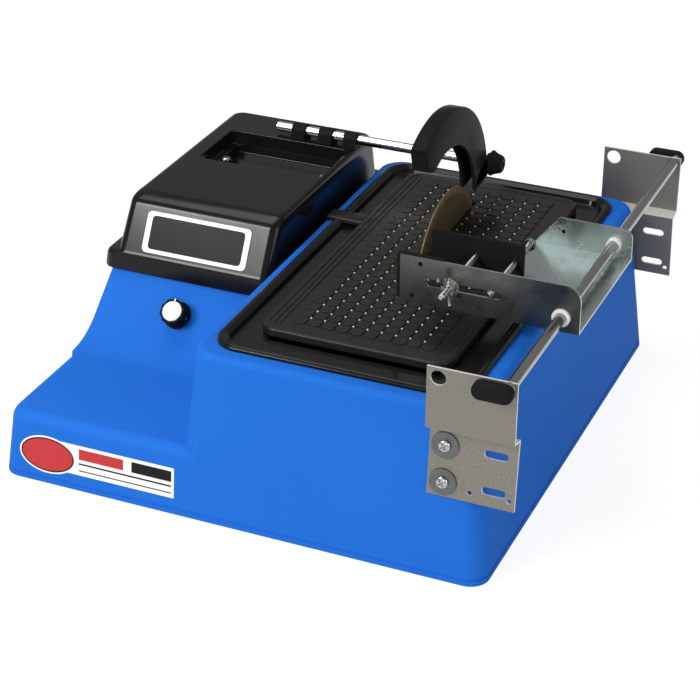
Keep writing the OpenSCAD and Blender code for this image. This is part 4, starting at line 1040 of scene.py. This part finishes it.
# floor and light
studio = {"reach": 20, "drop": 0.0004, "floor": 0.62, "floorSeen": 0.22, "floorGlow": 0.86, "sky": 0.34}
lamps = {       # place and size in metres, power in watts
    "keyLamp": ((-1.2, -1.85, 1.65), (0.8, 0.8), 48),
    "topLamp": ((-0.6, 0.2, 2.1), (1.4, 1.0), 17),
    "sideLamp": ((2.2, -0.9, 0.9), (1.0, 1.0), 16),
    "frontLamp": ((0.5, -2.4, 0.8), (1.2, 0.5), 12),
}


def seenRays(tree):
    # 1 for what the camera, gloss and glass see
    path = tree.nodes.new("ShaderNodeLightPath")
    total = path.outputs["Is Camera Ray"]
    for name in ("Is Glossy Ray", "Is Transmission Ray"):
        more = tree.nodes.new("ShaderNodeMath")
        more.operation = "MAXIMUM"
        tree.links.new(total, more.inputs[0])
        tree.links.new(path.outputs[name], more.inputs[1])
        total = more.outputs[0]
    return total


def floorPaint(s):
    # a dim floor for the light, a white one for the eye that still takes the shadow
    mat = bpy.data.materials.new("paleFloor")
    mat.use_nodes = True
    tree = mat.node_tree
    tree.nodes.clear()
    out = tree.nodes.new("ShaderNodeOutputMaterial")
    plainFloor = tree.nodes.new("ShaderNodeBsdfDiffuse")
    plainFloor.inputs["Color"].default_value = (s["floor"],) * 3 + (1,)
    seenFloor = tree.nodes.new("ShaderNodeBsdfDiffuse")
    seenFloor.inputs["Color"].default_value = (s["floorSeen"],) * 3 + (1,)
    glow = tree.nodes.new("ShaderNodeEmission")
    glow.inputs["Strength"].default_value = s["floorGlow"]
    both = tree.nodes.new("ShaderNodeAddShader")
    tree.links.new(seenFloor.outputs[0], both.inputs[0])
    tree.links.new(glow.outputs[0], both.inputs[1])
    mix = tree.nodes.new("ShaderNodeMixShader")
    tree.links.new(seenRays(tree), mix.inputs[0])
    tree.links.new(plainFloor.outputs[0], mix.inputs[1])
    tree.links.new(both.outputs[0], mix.inputs[2])
    tree.links.new(mix.outputs[0], out.inputs["Surface"])
    return mat


def addStage(s):
    bm = bmesh.new()
    q = s["reach"]
    loft(bm, [[(-q, -q, 0), (q, -q, 0), (q, q, 0), (-q, q, 0)]], False, True, scale=1)
    mesh = bpy.data.meshes.new("studioFloor")
    bm.to_mesh(mesh)
    bm.free()
    floor = bpy.data.objects.new("studioFloor", mesh)
    floor.location = (0, 0, -s["drop"])
    bpy.context.scene.collection.objects.link(floor)
    mesh.materials.append(floorPaint(s))
    world = bpy.data.worlds.new("studioAir")
    bpy.context.scene.world = world
    world.use_nodes = True
    tree = world.node_tree
    tree.nodes.clear()
    out = tree.nodes.new("ShaderNodeOutputWorld")
    air = tree.nodes.new("ShaderNodeBackground")
    air.inputs["Color"].default_value = (1, 1, 1, 1)
    air.inputs["Strength"].default_value = s["sky"]
    tree.links.new(air.outputs["Background"], out.inputs["Surface"])


def addLamp(name, place, size, power):
    data = bpy.data.lights.new(name, "AREA")
    data.shape = "RECTANGLE"
    data.size, data.size_y = size
    data.energy = power
    lamp = bpy.data.objects.new(name, data)
    lamp.location = place
    aim = Vector((0, 0, 0.1)) - Vector(place)
    lamp.rotation_euler = aim.to_track_quat("-Z", "Y").to_euler()
    bpy.context.scene.collection.objects.link(lamp)


addStage(studio)
for name, (place, size, power) in lamps.items():
    addLamp(name, place, size, power)
bpy.context.scene.view_settings.view_transform = "Standard"
print("stage lit")
